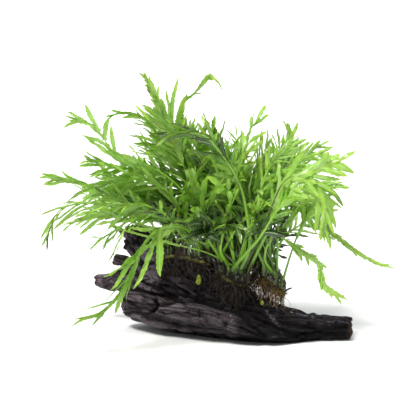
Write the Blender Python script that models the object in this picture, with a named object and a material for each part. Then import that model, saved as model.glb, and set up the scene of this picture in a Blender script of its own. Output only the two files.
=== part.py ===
"""A bushy water fern growing on a dark piece of driftwood.

The driftwood is a trunk and the limbs that fork from it.  Creeping rhizomes lie on root mats along
its crest, and each frond is one piece: a thin stipe, a rachis and its lobes.
X runs to the right, Y to the back and Z up.  The origin is on the flat underside of the trunk.
Lengths here are in millimetres and are turned into metres when a mesh is made.
"""
import math
import random

import bmesh
import bpy
from mathutils import Vector
from mathutils.bvhtree import BVHTree

MM = 0.001
UP = Vector((0.0, 0.0, 1.0))

# Clearances
GAP = 0.3
LOBE_CLEARANCE = 0.45
ROOT_LIFT = 0.55
ROOT_CLEARANCE = 0.1
FLOOR_CLEARANCE = 4.0

# Steps between two points of a smooth path, and the share of a limb over which its slope is taken
PATH_STEPS = 16
SLOPE_STEP = 0.01
HALVINGS = 40

# Driftwood: stations of centre x, y, z, half depth and half height
TRUNK = (
    (-66, 30, 38, 20, 20),
    (-50, 28, 34, 27, 31),
    (-32, 24, 30, 29, 35),
    (-10, 16, 22, 29, 30),
    (18, 6, 13, 29, 22),
    (45, -3, 9, 27, 16),
    (75, -7, 9.5, 20, 10.5),
    (104, -9, 8, 13, 8.2),
)
FRONT_LIMB = (
    (-76, 26, 22, 11, 12.5),
    (-64, 17, 22, 15, 15.5),
    (-40, 1, 20.5, 16.5, 14.5),
    (-12, -13, 20, 16, 14.5),
    (14, -21, 15, 14, 11),
    (38, -24, 9, 12, 7.5),
    (62, -22, 5, 7, 4.5),
)
UPPER_STUMP = (
    (-77, 36, 72, 9.5, 10.5),
    (-70, 35, 70, 13, 13),
    (-54, 32, 62, 19, 20),
    (-32, 26, 42, 18, 18),
)
SIDE_BRANCH = (
    (-103, 48, 34, 3.4, 4.2),
    (-92, 46, 33.5, 6.5, 7.8),
    (-79, 41, 35, 9.5, 12.5),
    (-60, 33, 37, 12, 15),
)
BROKEN_STUB = (
    (-87, 42, 53, 3.4, 4),
    (-80, 40, 52, 4.5, 5),
    (-62, 33, 46, 6, 6),
)
BACK_TIP = (
    (-86, 58, 76, 2.4, 3),
    (-77, 53, 72.5, 4, 5),
    (-60, 42, 63, 8, 8),
)
WOOD_LUMP = 0.05
END_CHIP = 1.6

# Root mats on the trunk: x range, angle range from the front over the crest, thickness at each end
ROOT_MATS = {
    "root_mat_left": (-38, -8, 38, 74, 3.0, 3.5),
    "root_mat_middle": (-5, 21, 40, 88, 4.0, 5.0),
    "root_mat_right": (24, 56, 62, 118, 11.0, 4.5),
    "root_mat_back": (-27, 20, 98, 132, 3.0, 3.0),
}
MAT_SEAT = 0.6
MAT_ROWS = 4
MAT_COLUMNS = 3
# The mat's thickness at its edge, and where along and across it the swelling starts
MAT_EDGE = 0.35
MAT_START_ALONG = 0.1
MAT_START_ACROSS = 0.12

# Rhizomes: stations of x along the trunk, angle over the crest, height of the centre over the wood
RHIZOMES = {
    "left": ((-52, 46, 7.5), (-40, 52, 6.8), (-28, 60, 6.6), (-14, 70, 7.0)),
    "middle": ((-9, 66, 8.0), (0, 64, 8.2), (10, 66, 8.6), (20, 76, 9.0)),
    "right": ((26, 88, 16.5), (36, 86, 14.5), (46, 84, 12.0), (52, 82, 10.8)),
    "back_left": ((-30, 106, 7.4), (-20, 108, 6.4), (-10, 112, 6.4), (-2, 114, 6.4)),
    "back_right": ((4, 112, 6.4), (14, 112, 7.0), (26, 122, 8.0), (38, 126, 7.0)),
}
RHIZOME_RADIUS = 1.9
RHIZOME_RIGHT_RADIUS = 2.6
RHIZOME_END = 0.7
RHIZOME_SPANS = 5
RHIZOME_SIDES = 6
RHIZOME_PLACES = 60
POINTED_END = 0.8

# Buds: x along the trunk, angle over the crest, height over the wood and half sizes
BUDS = {
    "green_bud_left": (-15.5, 42, 6.4, (2.2, 2.0, 4.0)),
    "dark_bud_right": (49, 84, 17.8, (1.5, 1.5, 3.3)),
    "pale_bud_right": (36.5, 58, 7.5, (1.4, 1.4, 1.7)),
}

# Fronds: rhizome, place along it, points from the stipe to the tip, roll towards the front in
# degrees, longest lobe, share of the length that is bare stipe
FRONDS = {
    "tall_left_frond": ("left", 0.70, (
        (-24, 2, 117), (-36, -5, 159), (-48, -8, 185), (-56, -10, 204), (-63, -14, 211)), 80, 24, 0.5),
    "top_arching_frond": ("middle", 0.05, (
        (-20, 10, 136), (-30, 12, 178), (-19, 12, 193), (-8, 12, 205), (-1, 12, 201), (2, 12, 193)),
        80, 20, 0.55),
    "centre_arching_frond": ("middle", 0.78, (
        (23, -14, 76), (19, -15, 110), (12, -20, 131), (-2, -25, 153), (-13, -28, 164), (-31, -30, 167),
        (-50, -34, 165)), 55, 26, 0.5),
    "upper_right_frond": ("back_right", 0.18, (
        (14, 2, 121), (14, 0, 135), (20, 0, 153), (24, 0, 166), (34, 0, 179)), 85, 30, 0.5),
    "right_leaf_tip_frond": ("back_right", 0.42, (
        (34, 15, 106), (49, 20, 134), (57, 22, 152), (55, 24, 168)), 80, 26, 0.45),
    "right_top_frond": ("back_right", 0.79, (
        (34, 10, 103), (44, 12, 123), (65, 14, 141), (80, 15, 143), (92, 15, 141)), 60, 28, 0.45),
    "right_high_frond": ("back_right", 0.66, (
        (41, 25, 113), (57, 28, 133), (74, 30, 145), (88, 32, 152)), 70, 26, 0.45),
    "pale_right_frond": ("middle", 0.89, (
        (34, -19, 92), (48, -29, 128), (66, -36, 136), (81, -40, 144), (98, -42, 150)), 70, 30, 0.45),
    "right_middle_frond": ("right", 0.28, (
        (37, 0, 97), (56, -8, 119), (77, -12, 123), (95, -14, 119)), 55, 28, 0.45),
    "right_drooping_frond": ("middle", 1.0, (
        (38, -18, 92), (50, -32, 127), (64, -40, 133), (75, -45, 121), (78, -48, 106), (78, -50, 85)),
        45, 24, 0.5),
    "far_right_frond": ("right", 0.72, (
        (39, 10, 90), (53, 15, 103), (69, 15, 97), (87, 12, 83), (105, 10, 69), (122, 8, 59), (141, 5, 53)),
        50, 22, 0.42),
    "low_right_frond": ("right", 0.58, (
        (39, -3, 68), (40, -6, 83), (49, -11, 81), (63, -18, 72), (76, -23, 64), (78, -26, 54), (82, -28, 45),
        (99, -30, 36)), 55, 18, 0.45),
    "front_right_frond": ("middle", 0.58, (
        (30, -25, 84), (42, -36, 106), (52, -44, 120), (62, -50, 126)), 60, 26, 0.42),
    "upper_left_arching_frond": ("left", 0.48, (
        (-28, 6, 121), (-44, 5, 153), (-56, 2, 171), (-70, 0, 178), (-83, -2, 177), (-90, -4, 169)),
        50, 26, 0.45),
    "left_upper_frond": ("left", 0.38, (
        (-26, -5, 110), (-48, -10, 134), (-73, -14, 139), (-85, -16, 153), (-98, -18, 171), (-123, -20, 178)),
        70, 28, 0.42),
    "left_straight_frond": ("back_left", 0.30, (
        (-28, 18, 112), (-52, 20, 132), (-77, 20, 132), (-97, 20, 136), (-110, 20, 142)), 65, 28, 0.42),
    "left_middle_frond": ("left", 0.27, (
        (-33, -8, 107), (-55, -14, 127), (-79, -19, 128), (-98, -21, 124), (-114, -23, 129), (-136, -25, 131)),
        55, 28, 0.4),
    "left_drooping_frond": ("left", 0.16, (
        (-38, -14, 96), (-59, -25, 110), (-82, -31, 110), (-105, -34, 113), (-122, -36, 108), (-130, -37, 94),
        (-136, -38, 79)), 45, 24, 0.4),
    "left_low_frond": ("back_left", 0.08, (
        (-40, 16, 97), (-65, 16, 99), (-89, 17, 95), (-107, 18, 91), (-129, 20, 85)), 50, 22, 0.4),
    "stump_frond": ("left", 0.06, (
        (-45, -16, 96), (-58, -26, 100), (-70, -34, 96), (-77, -39, 86), (-83, -42, 72)), 50, 22, 0.42),
    "front_hanging_frond": ("left", 0.84, (
        (-27, -32, 93), (-40, -42, 96), (-53, -47, 90), (-61, -52, 79), (-65, -54, 69), (-75, -57, 49),
        (-90, -59, 34), (-104, -60, 29), (-114, -60, 22)), 75, 26, 0.3),
    "pale_low_left_frond": ("left", 0.0, (
        (-54, -6, 92), (-68, -10, 96), (-82, -13, 88), (-94, -14, 82), (-102, -14, 86)), 45, 18, 0.45),
    "centre_tall_frond": ("back_left", 0.80, (
        (-18, 9, 117), (-17, 3, 145), (-17, -3, 168)), 80, 28, 0.45),
    "centre_broad_frond": ("middle", 0.22, (
        (-11, -24, 86), (-13, -34, 106), (-16, -40, 122), (-24, -46, 142)), 85, 24, 0.35),
    "centre_front_frond": ("middle", 0.40, (
        (0, -22, 74), (4, -36, 100), (6, -46, 119), (-4, -56, 132)), 70, 24, 0.38),
    "centre_back_frond": ("back_left", 0.98, (
        (6, 24, 96), (2, 26, 131), (-4, 30, 152), (-12, 34, 170)), 70, 28, 0.45),
    "left_centre_frond": ("back_left", 0.55, (
        (-26, 14, 118), (-38, 16, 146), (-50, 22, 164)), 75, 28, 0.42),
    "right_centre_frond": ("right", 0.10, (
        (29, -5, 73), (28, -6, 100), (34, -10, 128), (44, -16, 152)), 80, 28, 0.42),
    "low_centre_frond": ("left", 0.98, (
        (-9, -22, 86), (4, -38, 97), (20, -50, 95)), 30, 18, 0.45),
    "front_low_right_frond": ("right", 0.44, (
        (35, -13, 64), (37, -20, 78), (48, -26, 88), (64, -30, 89)), 40, 18, 0.5),
    "front_left_low_frond": ("left", 0.58, (
        (-31, -26, 88), (-42, -44, 106), (-52, -62, 112)), 35, 22, 0.42),
    "back_left_frond": ("back_left", 0.18, (
        (-42, 48, 106), (-58, 68, 126), (-74, 88, 124)), 20, 28, 0.42),
    "back_centre_frond": ("back_left", 0.68, (
        (-12, 44, 110), (-10, 66, 138), (-8, 90, 146)), 15, 30, 0.42),
    "back_right_frond": ("back_right", 0.54, (
        (28, 42, 92), (42, 64, 112), (58, 86, 112)), 20, 28, 0.42),
    "back_low_right_frond": ("back_right", 0.92, (
        (50, 36, 68), (70, 54, 80), (92, 68, 70)), 25, 24, 0.42),
    "back_low_frond": ("back_right", 0.30, (
        (8, 56, 78), (10, 80, 84), (12, 102, 66)), 15, 26, 0.42),
    "back_low_left_frond": ("back_left", 0.42, (
        (-40, 62, 90), (-58, 84, 92), (-80, 100, 74)), 20, 26, 0.42),
}
# The stipe and the rachis: radii, the straight rise from the root and the sections
STIPE_RADIUS = 0.95
ROOT_RADIUS = 0.6
RACHIS_RADIUS = 0.6
SPINE_FLATNESS = 0.8
ROOT_RISE = 9
STIPE_SPANS = 3
LAST_SECTION = 0.9
SPINE_PLACES = 200
UPRIGHT_REACH = 12

# The lobes: number of pairs, angle to the rachis and section
LOBE_PAIRS = 5
LOBE_ANGLE = 44
LOBE_ANGLE_CHANGE = 7
LOBE_HALF_WIDTH = 2.1
LOBE_HALF_THICKNESS = 0.45
LOBE_ROOT_HALF_THICKNESS = 0.3
LOBE_TEST_HALF_THICKNESS = 0.5
LOBE_SHORTENINGS = (1.0, 0.8, 0.6, 0.42)
# Lobe sizes: at the first pair, the rise from there, where the longest is, and the fall to the last
FIRST_LOBE = 0.82
LOBE_RISE = 0.5
LONGEST_LOBE_AT = 0.35
LOBE_FALL = 0.5
LOBE_WIDEST_AT = 0.45
LOBE_ARCH = 0.04
LOBE_DROOP = 0.10
LOBE_SHORTEST = 0.88
LOBE_LONGEST = 1.08
NARROWEST_LOBE = 0.35

# Colours, with roughness
WOOD_COLOUR = (0.032, 0.024, 0.027)
STUB_COLOUR = (0.120, 0.065, 0.030)
RHIZOME_COLOUR = (0.120, 0.110, 0.020)
ROOT_COLOUR = (0.110, 0.075, 0.045)
LEAF_COLOUR = (0.130, 0.300, 0.030)
BUD_COLOUR = (0.300, 0.400, 0.030)
WOOD_ROUGHNESS = 0.6
PLANT_ROUGHNESS = 0.45


def clear_scene():
    for thing in list(bpy.data.objects):
        bpy.data.objects.remove(thing, do_unlink=True)


def make_material(name, colour, roughness):
    material = bpy.data.materials.new(name)
    material.use_nodes = True
    shader = material.node_tree.nodes["Principled BSDF"]
    shader.inputs["Base Color"].default_value = (*colour, 1.0)
    shader.inputs["Roughness"].default_value = roughness
    shader.inputs["Metallic"].default_value = 0.0
    return material


def make_object(name, corners, faces, colour, roughness, hidden=False):
    """Turns corners in millimetres and faces into one object, with its faces pointing out."""
    mesh = bpy.data.meshes.new(name)
    mesh.from_pydata([tuple(c * MM for c in corner) for corner in corners], [], faces)
    shape = bmesh.new()
    shape.from_mesh(mesh)
    bmesh.ops.triangulate(shape, faces=shape.faces)
    bmesh.ops.recalc_face_normals(shape, faces=shape.faces)
    shape.to_mesh(mesh)
    shape.free()
    thing = bpy.data.objects.new(name, mesh)
    bpy.context.scene.collection.objects.link(thing)
    if hidden:
        thing.hide_render = True
        thing.display_type = "WIRE"
    else:
        mesh.materials.append(make_material(name + "_finish", colour, roughness))
    return thing


def smooth_path(points, count):
    """Returns count + 1 points, evenly spaced, on a smooth curve through the given points."""
    knots = [Vector(p) for p in points]
    knots = [2 * knots[0] - knots[1]] + knots + [2 * knots[-1] - knots[-2]]
    dense = []
    for i in range(1, len(knots) - 2):
        before, start, end, after = knots[i - 1:i + 3]
        for k in range(PATH_STEPS):
            t = k / PATH_STEPS
            dense.append(0.5 * (2 * start + (end - before) * t
                                + (2 * before - 5 * start + 4 * end - after) * t * t
                                + (3 * start - before - 3 * end + after) * t ** 3))
    dense.append(knots[-2])
    reach = [0.0]
    for a, b in zip(dense, dense[1:]):
        reach.append(reach[-1] + (b - a).length)
    path = []
    k = 0
    for j in range(count + 1):
        goal = reach[-1] * j / count
        while k < len(reach) - 2 and reach[k + 1] < goal:
            k += 1
        share = (goal - reach[k]) / (reach[k + 1] - reach[k])
        path.append(dense[k].lerp(dense[k + 1], min(max(share, 0.0), 1.0)))
    return path


class Limb:
    """A length of wood: lumpy rings around a smooth centre line that runs from left to right."""

    def __init__(self, stations, phase):
        self.stations = [Vector(s[:3]) for s in stations]
        self.depths = [s[3] for s in stations]
        self.heights = [s[4] for s in stations]
        self.phase = phase

    def blend(self, values, u):
        place = min(max(u, 0.0), 1.0) * (len(values) - 1)
        i = min(int(place), len(values) - 2)
        t = place - i
        before = values[max(i - 1, 0)]
        after = values[min(i + 2, len(values) - 1)]
        start, end = values[i], values[i + 1]
        return 0.5 * (2 * start + (end - before) * t
                      + (2 * before - 5 * start + 4 * end - after) * t * t
                      + (3 * start - before - 3 * end + after) * t ** 3)

    def centre(self, u):
        return self.blend(self.stations, u)

    def lump(self, u, angle):
        wave = (0.5 * math.sin(2 * angle + 7 * u + self.phase)
                + 0.3 * math.sin(3 * angle - 11 * u + 2 * self.phase)
                + 0.2 * math.sin(5 * angle + 17 * u + 3 * self.phase))
        return 1.0 + WOOD_LUMP * wave

    def point(self, u, angle, lift=0.0):
        """A point on the wood: angle 0 is the front, 90 degrees is the crest."""
        along = (self.centre(min(u + SLOPE_STEP, 1.0)) - self.centre(max(u - SLOPE_STEP, 0.0))).normalized()
        front = along.cross(UP).normalized()
        top = front.cross(along).normalized()
        lump = self.lump(u, angle)
        depth = self.blend(self.depths, u) * lump + lift
        height = self.blend(self.heights, u) * lump + lift
        return self.centre(u) + front * (math.cos(angle) * depth) + top * (math.sin(angle) * height)

    def share_at(self, x):
        """The share along the limb where its centre line reaches x."""
        low, high = 0.0, 1.0
        for _ in range(HALVINGS):
            middle = (low + high) / 2
            if self.centre(middle).x < x:
                low = middle
            else:
                high = middle
        return low

    def mesh(self, rings, sides, lift=0.0, chip=0.0, seed=1):
        """Corners and faces of the closed limb, with chipped ends."""
        chance = random.Random(seed)
        corners = []
        faces = []
        for i in range(rings + 1):
            u = i / rings
            for k in range(sides):
                corner = self.point(u, 2 * math.pi * k / sides, lift)
                if i in (0, rings):
                    outward = lift if i else -lift
                    corner = corner + Vector((chance.uniform(-chip, chip) + outward, 0, 0))
                corners.append(corner)
        for i in range(rings):
            for k in range(sides):
                after = (k + 1) % sides
                faces.append((i * sides + k, i * sides + after, (i + 1) * sides + after, (i + 1) * sides + k))
        for i, inward in ((0, 1), (rings, -1)):
            middle = len(corners)
            corners.append(self.centre(i / rings) + Vector((inward * chip - inward * lift, 0, 0)))
            for k in range(sides):
                faces.append((i * sides + k, i * sides + (k + 1) % sides, middle))
        return corners, faces


def cut_flat_below(thing):
    """Cuts the object off at z = 0 and closes the cut, so that it rests on a flat face."""
    shape = bmesh.new()
    shape.from_mesh(thing.data)
    everything = shape.verts[:] + shape.edges[:] + shape.faces[:]
    bmesh.ops.bisect_plane(shape, geom=everything, plane_co=(0, 0, 0), plane_no=(0, 0, 1), clear_inner=True)
    rim = [edge for edge in shape.edges if edge.is_boundary]
    bmesh.ops.edgeloop_fill(shape, edges=rim)
    bmesh.ops.triangulate(shape, faces=shape.faces)
    bmesh.ops.recalc_face_normals(shape, faces=shape.faces)
    shape.to_mesh(thing.data)
    shape.free()


def cut_away(thing, cutter):
    cut = thing.modifiers.new("clear_of_" + cutter.name, "BOOLEAN")
    cut.operation = "DIFFERENCE"
    cut.solver = "EXACT"
    cut.object = cutter


def make_driftwood():
    """Makes the trunk and the limbs that fork from it, each cut clear of the wood it grows from.

    Each row is a name, stations, number of rings, sides of a ring, phase of the lumps and colour.
    """
    pieces = (
        ("driftwood_trunk", TRUNK, 12, 16, 0.3, WOOD_COLOUR),
        ("driftwood_front_limb", FRONT_LIMB, 9, 12, 1.9, WOOD_COLOUR),
        ("driftwood_upper_stump", UPPER_STUMP, 5, 12, 2.6, WOOD_COLOUR),
        ("driftwood_side_branch", SIDE_BRANCH, 4, 9, 4.0, WOOD_COLOUR),
        ("driftwood_broken_stub", BROKEN_STUB, 3, 7, 5.1, STUB_COLOUR),
        ("driftwood_back_tip", BACK_TIP, 3, 7, 0.9, WOOD_COLOUR),
    )
    limbs = {}
    made = []
    cutters = []
    for seed, (name, stations, rings, sides, phase, colour) in enumerate(pieces):
        limb = Limb(stations, phase)
        limbs[name] = limb
        corners, faces = limb.mesh(rings, sides, 0.0, END_CHIP, seed)
        thing = make_object(name, corners, faces, colour, WOOD_ROUGHNESS)
        if min(corner.z for corner in corners) < 0:
            cut_flat_below(thing)
        for cutter in cutters:
            cut_away(thing, cutter)
        corners, faces = limb.mesh(rings, sides, GAP, END_CHIP, seed)
        cutters.append(make_object(name + "_clearance", corners, faces, colour, WOOD_ROUGHNESS, hidden=True))
        made.append(thing)
    return limbs, made


def make_root_mat(name, trunk, span):
    """A pad of roots: a patch over the trunk, thicker where the rhizome stands higher."""
    x_start, x_end, low, high, thick_start, thick_end = span
    corners = []
    faces = []
    for layer in (0, 1):
        for i in range(MAT_ROWS + 1):
            along = i / MAT_ROWS
            u = trunk.share_at(x_start + (x_end - x_start) * along)
            swell_along = math.sin(math.pi * (MAT_START_ALONG + (1 - 2 * MAT_START_ALONG) * along))
            full = thick_start + (thick_end - thick_start) * along
            for k in range(MAT_COLUMNS + 1):
                across = k / MAT_COLUMNS
                angle = math.radians(low + (high - low) * across)
                swell_across = math.sin(math.pi * (MAT_START_ACROSS + (1 - 2 * MAT_START_ACROSS) * across))
                thick = full * (MAT_EDGE + (1 - MAT_EDGE) * swell_along * swell_across)
                corners.append(trunk.point(u, angle, MAT_SEAT + layer * thick))
    row = MAT_COLUMNS + 1
    step = row * (MAT_ROWS + 1)
    for layer in (0, 1):
        for i in range(MAT_ROWS):
            for k in range(MAT_COLUMNS):
                a = layer * step + i * row + k
                faces.append((a, a + 1, a + row + 1, a + row))
    rim = [i * row for i in range(MAT_ROWS)]
    rim += [MAT_ROWS * row + k for k in range(MAT_COLUMNS)]
    rim += [i * row + MAT_COLUMNS for i in range(MAT_ROWS, 0, -1)]
    rim += [k for k in range(MAT_COLUMNS, 0, -1)]
    for a, b in zip(rim, rim[1:] + rim[:1]):
        faces.append((a, b, b + step, a + step))
    return make_object(name, corners, faces, ROOT_COLOUR, PLANT_ROUGHNESS)


def tube(path, radii, sides):
    """Corners and faces of a closed round tube along a path, with pointed ends."""
    corners = []
    faces = []
    last = len(path) - 1
    for i, (middle, radius) in enumerate(zip(path, radii)):
        along = (path[min(i + 1, last)] - path[max(i - 1, 0)]).normalized()
        side = along.cross(UP).normalized()
        top = side.cross(along)
        for k in range(sides):
            angle = 2 * math.pi * k / sides
            corners.append(middle + side * (math.cos(angle) * radius) + top * (math.sin(angle) * radius))
    for i in range(last):
        for k in range(sides):
            after = (k + 1) % sides
            faces.append((i * sides + k, i * sides + after, (i + 1) * sides + after, (i + 1) * sides + k))
    for i, outward in ((0, -1), (last, 1)):
        along = (path[min(i + 1, last)] - path[max(i - 1, 0)]).normalized()
        tip = len(corners)
        corners.append(path[i] + along * (outward * radii[i] * POINTED_END))
        for k in range(sides):
            faces.append((i * sides + k, i * sides + (k + 1) % sides, tip))
    return corners, faces


def rhizome_line(trunk, stations, count):
    points = [trunk.point(trunk.share_at(x), math.radians(angle), height) for x, angle, height in stations]
    return smooth_path(points, count)


def make_rhizomes(trunk):
    lines = {}
    made = []
    for name, stations in RHIZOMES.items():
        radius = RHIZOME_RIGHT_RADIUS if name == "right" else RHIZOME_RADIUS
        radii = []
        for i in range(RHIZOME_SPANS + 1):
            swell = math.sin(math.pi * i / RHIZOME_SPANS)
            radii.append(radius * (RHIZOME_END + (1 - RHIZOME_END) * swell))
        line = rhizome_line(trunk, stations, RHIZOME_SPANS)
        corners, faces = tube(line, radii, RHIZOME_SIDES)
        made.append(make_object("rhizome_" + name, corners, faces, RHIZOME_COLOUR, PLANT_ROUGHNESS))
        lines[name] = (rhizome_line(trunk, stations, RHIZOME_PLACES), radius)
    return lines, made


def make_bud(name, trunk, place):
    x, angle, height, half_sizes = place
    middle = trunk.point(trunk.share_at(x), math.radians(angle), height)
    shape = bmesh.new()
    bmesh.ops.create_icosphere(shape, subdivisions=1, radius=1.0)
    corners = [middle + Vector([c * h for c, h in zip(v.co, half_sizes)]) for v in shape.verts]
    faces = [[v.index for v in face.verts] for face in shape.faces]
    shape.free()
    return make_object(name, corners, faces, BUD_COLOUR, PLANT_ROUGHNESS)


def tree_of(thing):
    """The object's triangles, in millimetres, for testing what touches it."""
    corners = [vertex.co / MM for vertex in thing.data.vertices]
    return BVHTree.FromPolygons(corners, [tuple(face.vertices) for face in thing.data.polygons])


class Frond:
    """One frond: the spine, and the lobes on each side that stay clear of everything else."""

    def __init__(self, name, root, points, roll, lobe_length, bare):
        self.name = name
        self.root = root
        self.points = [Vector(p) for p in points]
        self.roll = math.radians(roll)
        self.lobe_length = lobe_length
        self.bare = bare
        self.lobes = {}
        self.middles = []
        self.sections = []
        self.frames = []
        self.settle()

    def settle(self):
        """Works out the sections of the spine: four corners around each point."""
        points = [self.root, self.root + UP * ROOT_RISE] + self.points
        fine = smooth_path(points, SPINE_PLACES)
        shares = [self.bare * i / STIPE_SPANS for i in range(STIPE_SPANS)]
        shares += [self.bare + (LAST_SECTION - self.bare) * i / LOBE_PAIRS for i in range(LOBE_PAIRS + 1)]
        heading = self.points[-1] - self.root
        heading.z = 0
        if heading.length < UPRIGHT_REACH:
            heading = Vector((-1, 0, 0))
        normal = UP.cross(heading.normalized())
        for share in shares:
            i = round(share * SPINE_PLACES)
            middle = fine[i]
            along = (fine[min(i + 2, SPINE_PLACES)] - fine[max(i - 2, 0)]).normalized()
            side = (normal - along * normal.dot(along)).normalized()
            side = (side * math.cos(self.roll) + along.cross(side) * math.sin(self.roll)).normalized()
            face = side.cross(along)
            radius = STIPE_RADIUS + (RACHIS_RADIUS - STIPE_RADIUS) * share
            if share == 0:
                radius = ROOT_RADIUS
            self.middles.append(middle)
            self.frames.append((along, side, face))
            rise = face * (radius * SPINE_FLATNESS)
            self.sections.append([middle + side * radius, middle + rise, middle - side * radius, middle - rise])
        self.tip = fine[-1]

    def spine_mesh(self, grow=0.0):
        """Corners and faces of the bare spine, grown a little for testing."""
        corners = []
        faces = []
        for middle, (along, side, face), section in zip(self.middles, self.frames, self.sections):
            radius = (section[0] - middle).length + (grow if corners else ROOT_CLEARANCE)
            corners += [middle + side * radius, middle + face * radius]
            corners += [middle - side * radius, middle - face * radius]
        for i in range(len(self.sections) - 1):
            for k in range(4):
                after = (k + 1) % 4
                faces.append((4 * i + k, 4 * i + after, 4 * i + 4 + after, 4 * i + 4 + k))
        last = len(corners)
        corners.append(self.tip)
        for k in range(4):
            faces.append((last - 4 + k, last - 4 + (k + 1) % 4, last))
        return corners, faces

    def lobe_shape(self, segment, sign, scale, grow=0.0):
        """The widest section and the tip of a lobe that leaves the spine between two sections."""
        first = STIPE_SPANS + segment
        start = (self.middles[first] + self.middles[first + 1]) / 2
        along, side, face = self.frames[first]
        along_next = self.frames[first + 1][0]
        share = segment / (LOBE_PAIRS - 1)
        if share < LONGEST_LOBE_AT:
            size = FIRST_LOBE + LOBE_RISE * share
        else:
            size = 1.0 - LOBE_FALL * (share - LONGEST_LOBE_AT) / (1 - LONGEST_LOBE_AT)
        chance = random.Random(self.name + str(segment) + str(sign))
        length = self.lobe_length * size * scale * chance.uniform(LOBE_SHORTEST, LOBE_LONGEST)
        angle = math.radians(LOBE_ANGLE + chance.uniform(-LOBE_ANGLE_CHANGE, LOBE_ANGLE_CHANGE))
        heading = (along + along_next).normalized() * math.cos(angle) + side * (sign * math.sin(angle))
        middle = start + heading * (LOBE_WIDEST_AT * length) + face * (LOBE_ARCH * length)
        half_width = LOBE_HALF_WIDTH * min(1.0, NARROWEST_LOBE + (1 - NARROWEST_LOBE) * size)
        across = face.cross(heading).normalized() * (half_width + grow)
        thick = face * (LOBE_HALF_THICKNESS + grow)
        tip = start + heading * (length + grow) - UP * (LOBE_DROOP * length)
        return [middle + across, middle + thick, middle - across, middle - thick], tip

    def lobe_tree(self, segment, sign, scale, grow):
        first = STIPE_SPANS + segment
        near = self.sections[first][0 if sign > 0 else 2]
        far = self.sections[first + 1][0 if sign > 0 else 2]
        thick = self.frames[first][2] * LOBE_TEST_HALF_THICKNESS
        middle = (near + far) / 2
        ring, tip = self.lobe_shape(segment, sign, scale, grow)
        corners = [near, middle + thick, far, middle - thick] + ring + [tip]
        faces = []
        ring_order = self.ring_order(near, far, ring)
        for k in range(4):
            after = (k + 1) % 4
            a, b = 4 + ring_order[k], 4 + ring_order[after]
            faces.append((k, after, b))
            faces.append((k, b, a))
            faces.append((a, b, 8))
        return BVHTree.FromPolygons(corners, faces), min(corner.z for corner in corners)

    @staticmethod
    def ring_order(near, far, ring):
        """Matches the lobe's ring to the opening, so that its sides don't twist."""
        if (ring[0] - near).length + (ring[2] - far).length < (ring[2] - near).length + (ring[0] - far).length:
            return (0, 1, 2, 3)
        return (2, 1, 0, 3)

    def mesh(self):
        """Corners and faces of the whole frond as one closed body."""
        corners = []
        faces = []
        for section in self.sections:
            corners += section
        for i in range(len(self.sections) - 1):
            segment = i - STIPE_SPANS
            for sign, edge in ((1, 0), (-1, 2)):
                a, b = 4 * i + edge, 4 * i + 4 + edge
                if (segment, sign) not in self.lobes:
                    faces.append((a, b, 4 * i + 5, 4 * i + 1))
                    faces.append((a, b, 4 * i + 7, 4 * i + 3))
                    continue
                near, far = corners[a], corners[b]
                thick = self.frames[i][2] * LOBE_ROOT_HALF_THICKNESS
                middle = (near + far) / 2
                upper, lower = len(corners), len(corners) + 1
                corners += [middle + thick, middle - thick]
                faces += [(a, upper, 4 * i + 1), (upper, b, 4 * i + 5), (upper, 4 * i + 5, 4 * i + 1)]
                faces += [(a, lower, 4 * i + 3), (lower, b, 4 * i + 7), (lower, 4 * i + 7, 4 * i + 3)]
                ring, tip = self.lobe_shape(segment, sign, self.lobes[segment, sign])
                start = len(corners)
                corners += ring + [tip]
                opening = (a, upper, b, lower)
                order = self.ring_order(near, far, ring)
                for k in range(4):
                    after = (k + 1) % 4
                    c, d = start + order[k], start + order[after]
                    faces += [(opening[k], opening[after], d), (opening[k], d, c), (c, d, start + 4)]
        last = 4 * (len(self.sections) - 1)
        tip = len(corners)
        corners.append(self.tip)
        for k in range(4):
            faces.append((last + k, last + (k + 1) % 4, tip))
        faces.append((0, 1, 2, 3))
        return corners, faces


def check_spines_clear(fronds, solids):
    """Returns the solids and the spines, after a test that no spine meets the wood or another spine."""
    taken = list(solids)
    for frond in fronds:
        corners, faces = frond.spine_mesh(LOBE_CLEARANCE)
        tree = BVHTree.FromPolygons(corners, faces)
        if any(tree.overlap(other) for other in taken):
            raise ValueError(frond.name + " meets the wood or another frond")
        corners, faces = frond.spine_mesh()
        taken.append(BVHTree.FromPolygons(corners, faces))
    return taken


def grow_lobes(fronds, taken, solid_count):
    """Gives each frond the longest lobes that stay clear of the wood and of all other fronds."""
    lobe_trees = {frond.name: [] for frond in fronds}
    for segment in range(LOBE_PAIRS):
        for sign in (1, -1):
            for number, frond in enumerate(fronds):
                others = [tree for i, tree in enumerate(taken) if i != solid_count + number]
                for trees in lobe_trees.values():
                    others += trees
                for scale in LOBE_SHORTENINGS:
                    tree, lowest = frond.lobe_tree(segment, sign, scale, LOBE_CLEARANCE)
                    if lowest > FLOOR_CLEARANCE and not any(tree.overlap(other) for other in others):
                        frond.lobes[segment, sign] = scale
                        lobe_trees[frond.name].append(frond.lobe_tree(segment, sign, scale, 0.0)[0])
                        break


def make_fronds(lines, solids):
    fronds = []
    for name, (rhizome, place, points, roll, lobe_length, bare) in FRONDS.items():
        line, radius = lines[rhizome]
        i = int(place * (RHIZOME_PLACES - 2))
        along = (line[i + 1] - line[i]).normalized()
        rise = (UP - along * along.z).normalized()
        root = line[i] + rise * (radius + ROOT_LIFT)
        fronds.append(Frond(name, root, points, roll, lobe_length, bare))
    spines = check_spines_clear(fronds, solids)
    grow_lobes(fronds, spines, len(solids))
    for frond in fronds:
        corners, faces = frond.mesh()
        make_object(frond.name, corners, faces, LEAF_COLOUR, PLANT_ROUGHNESS)


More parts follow.
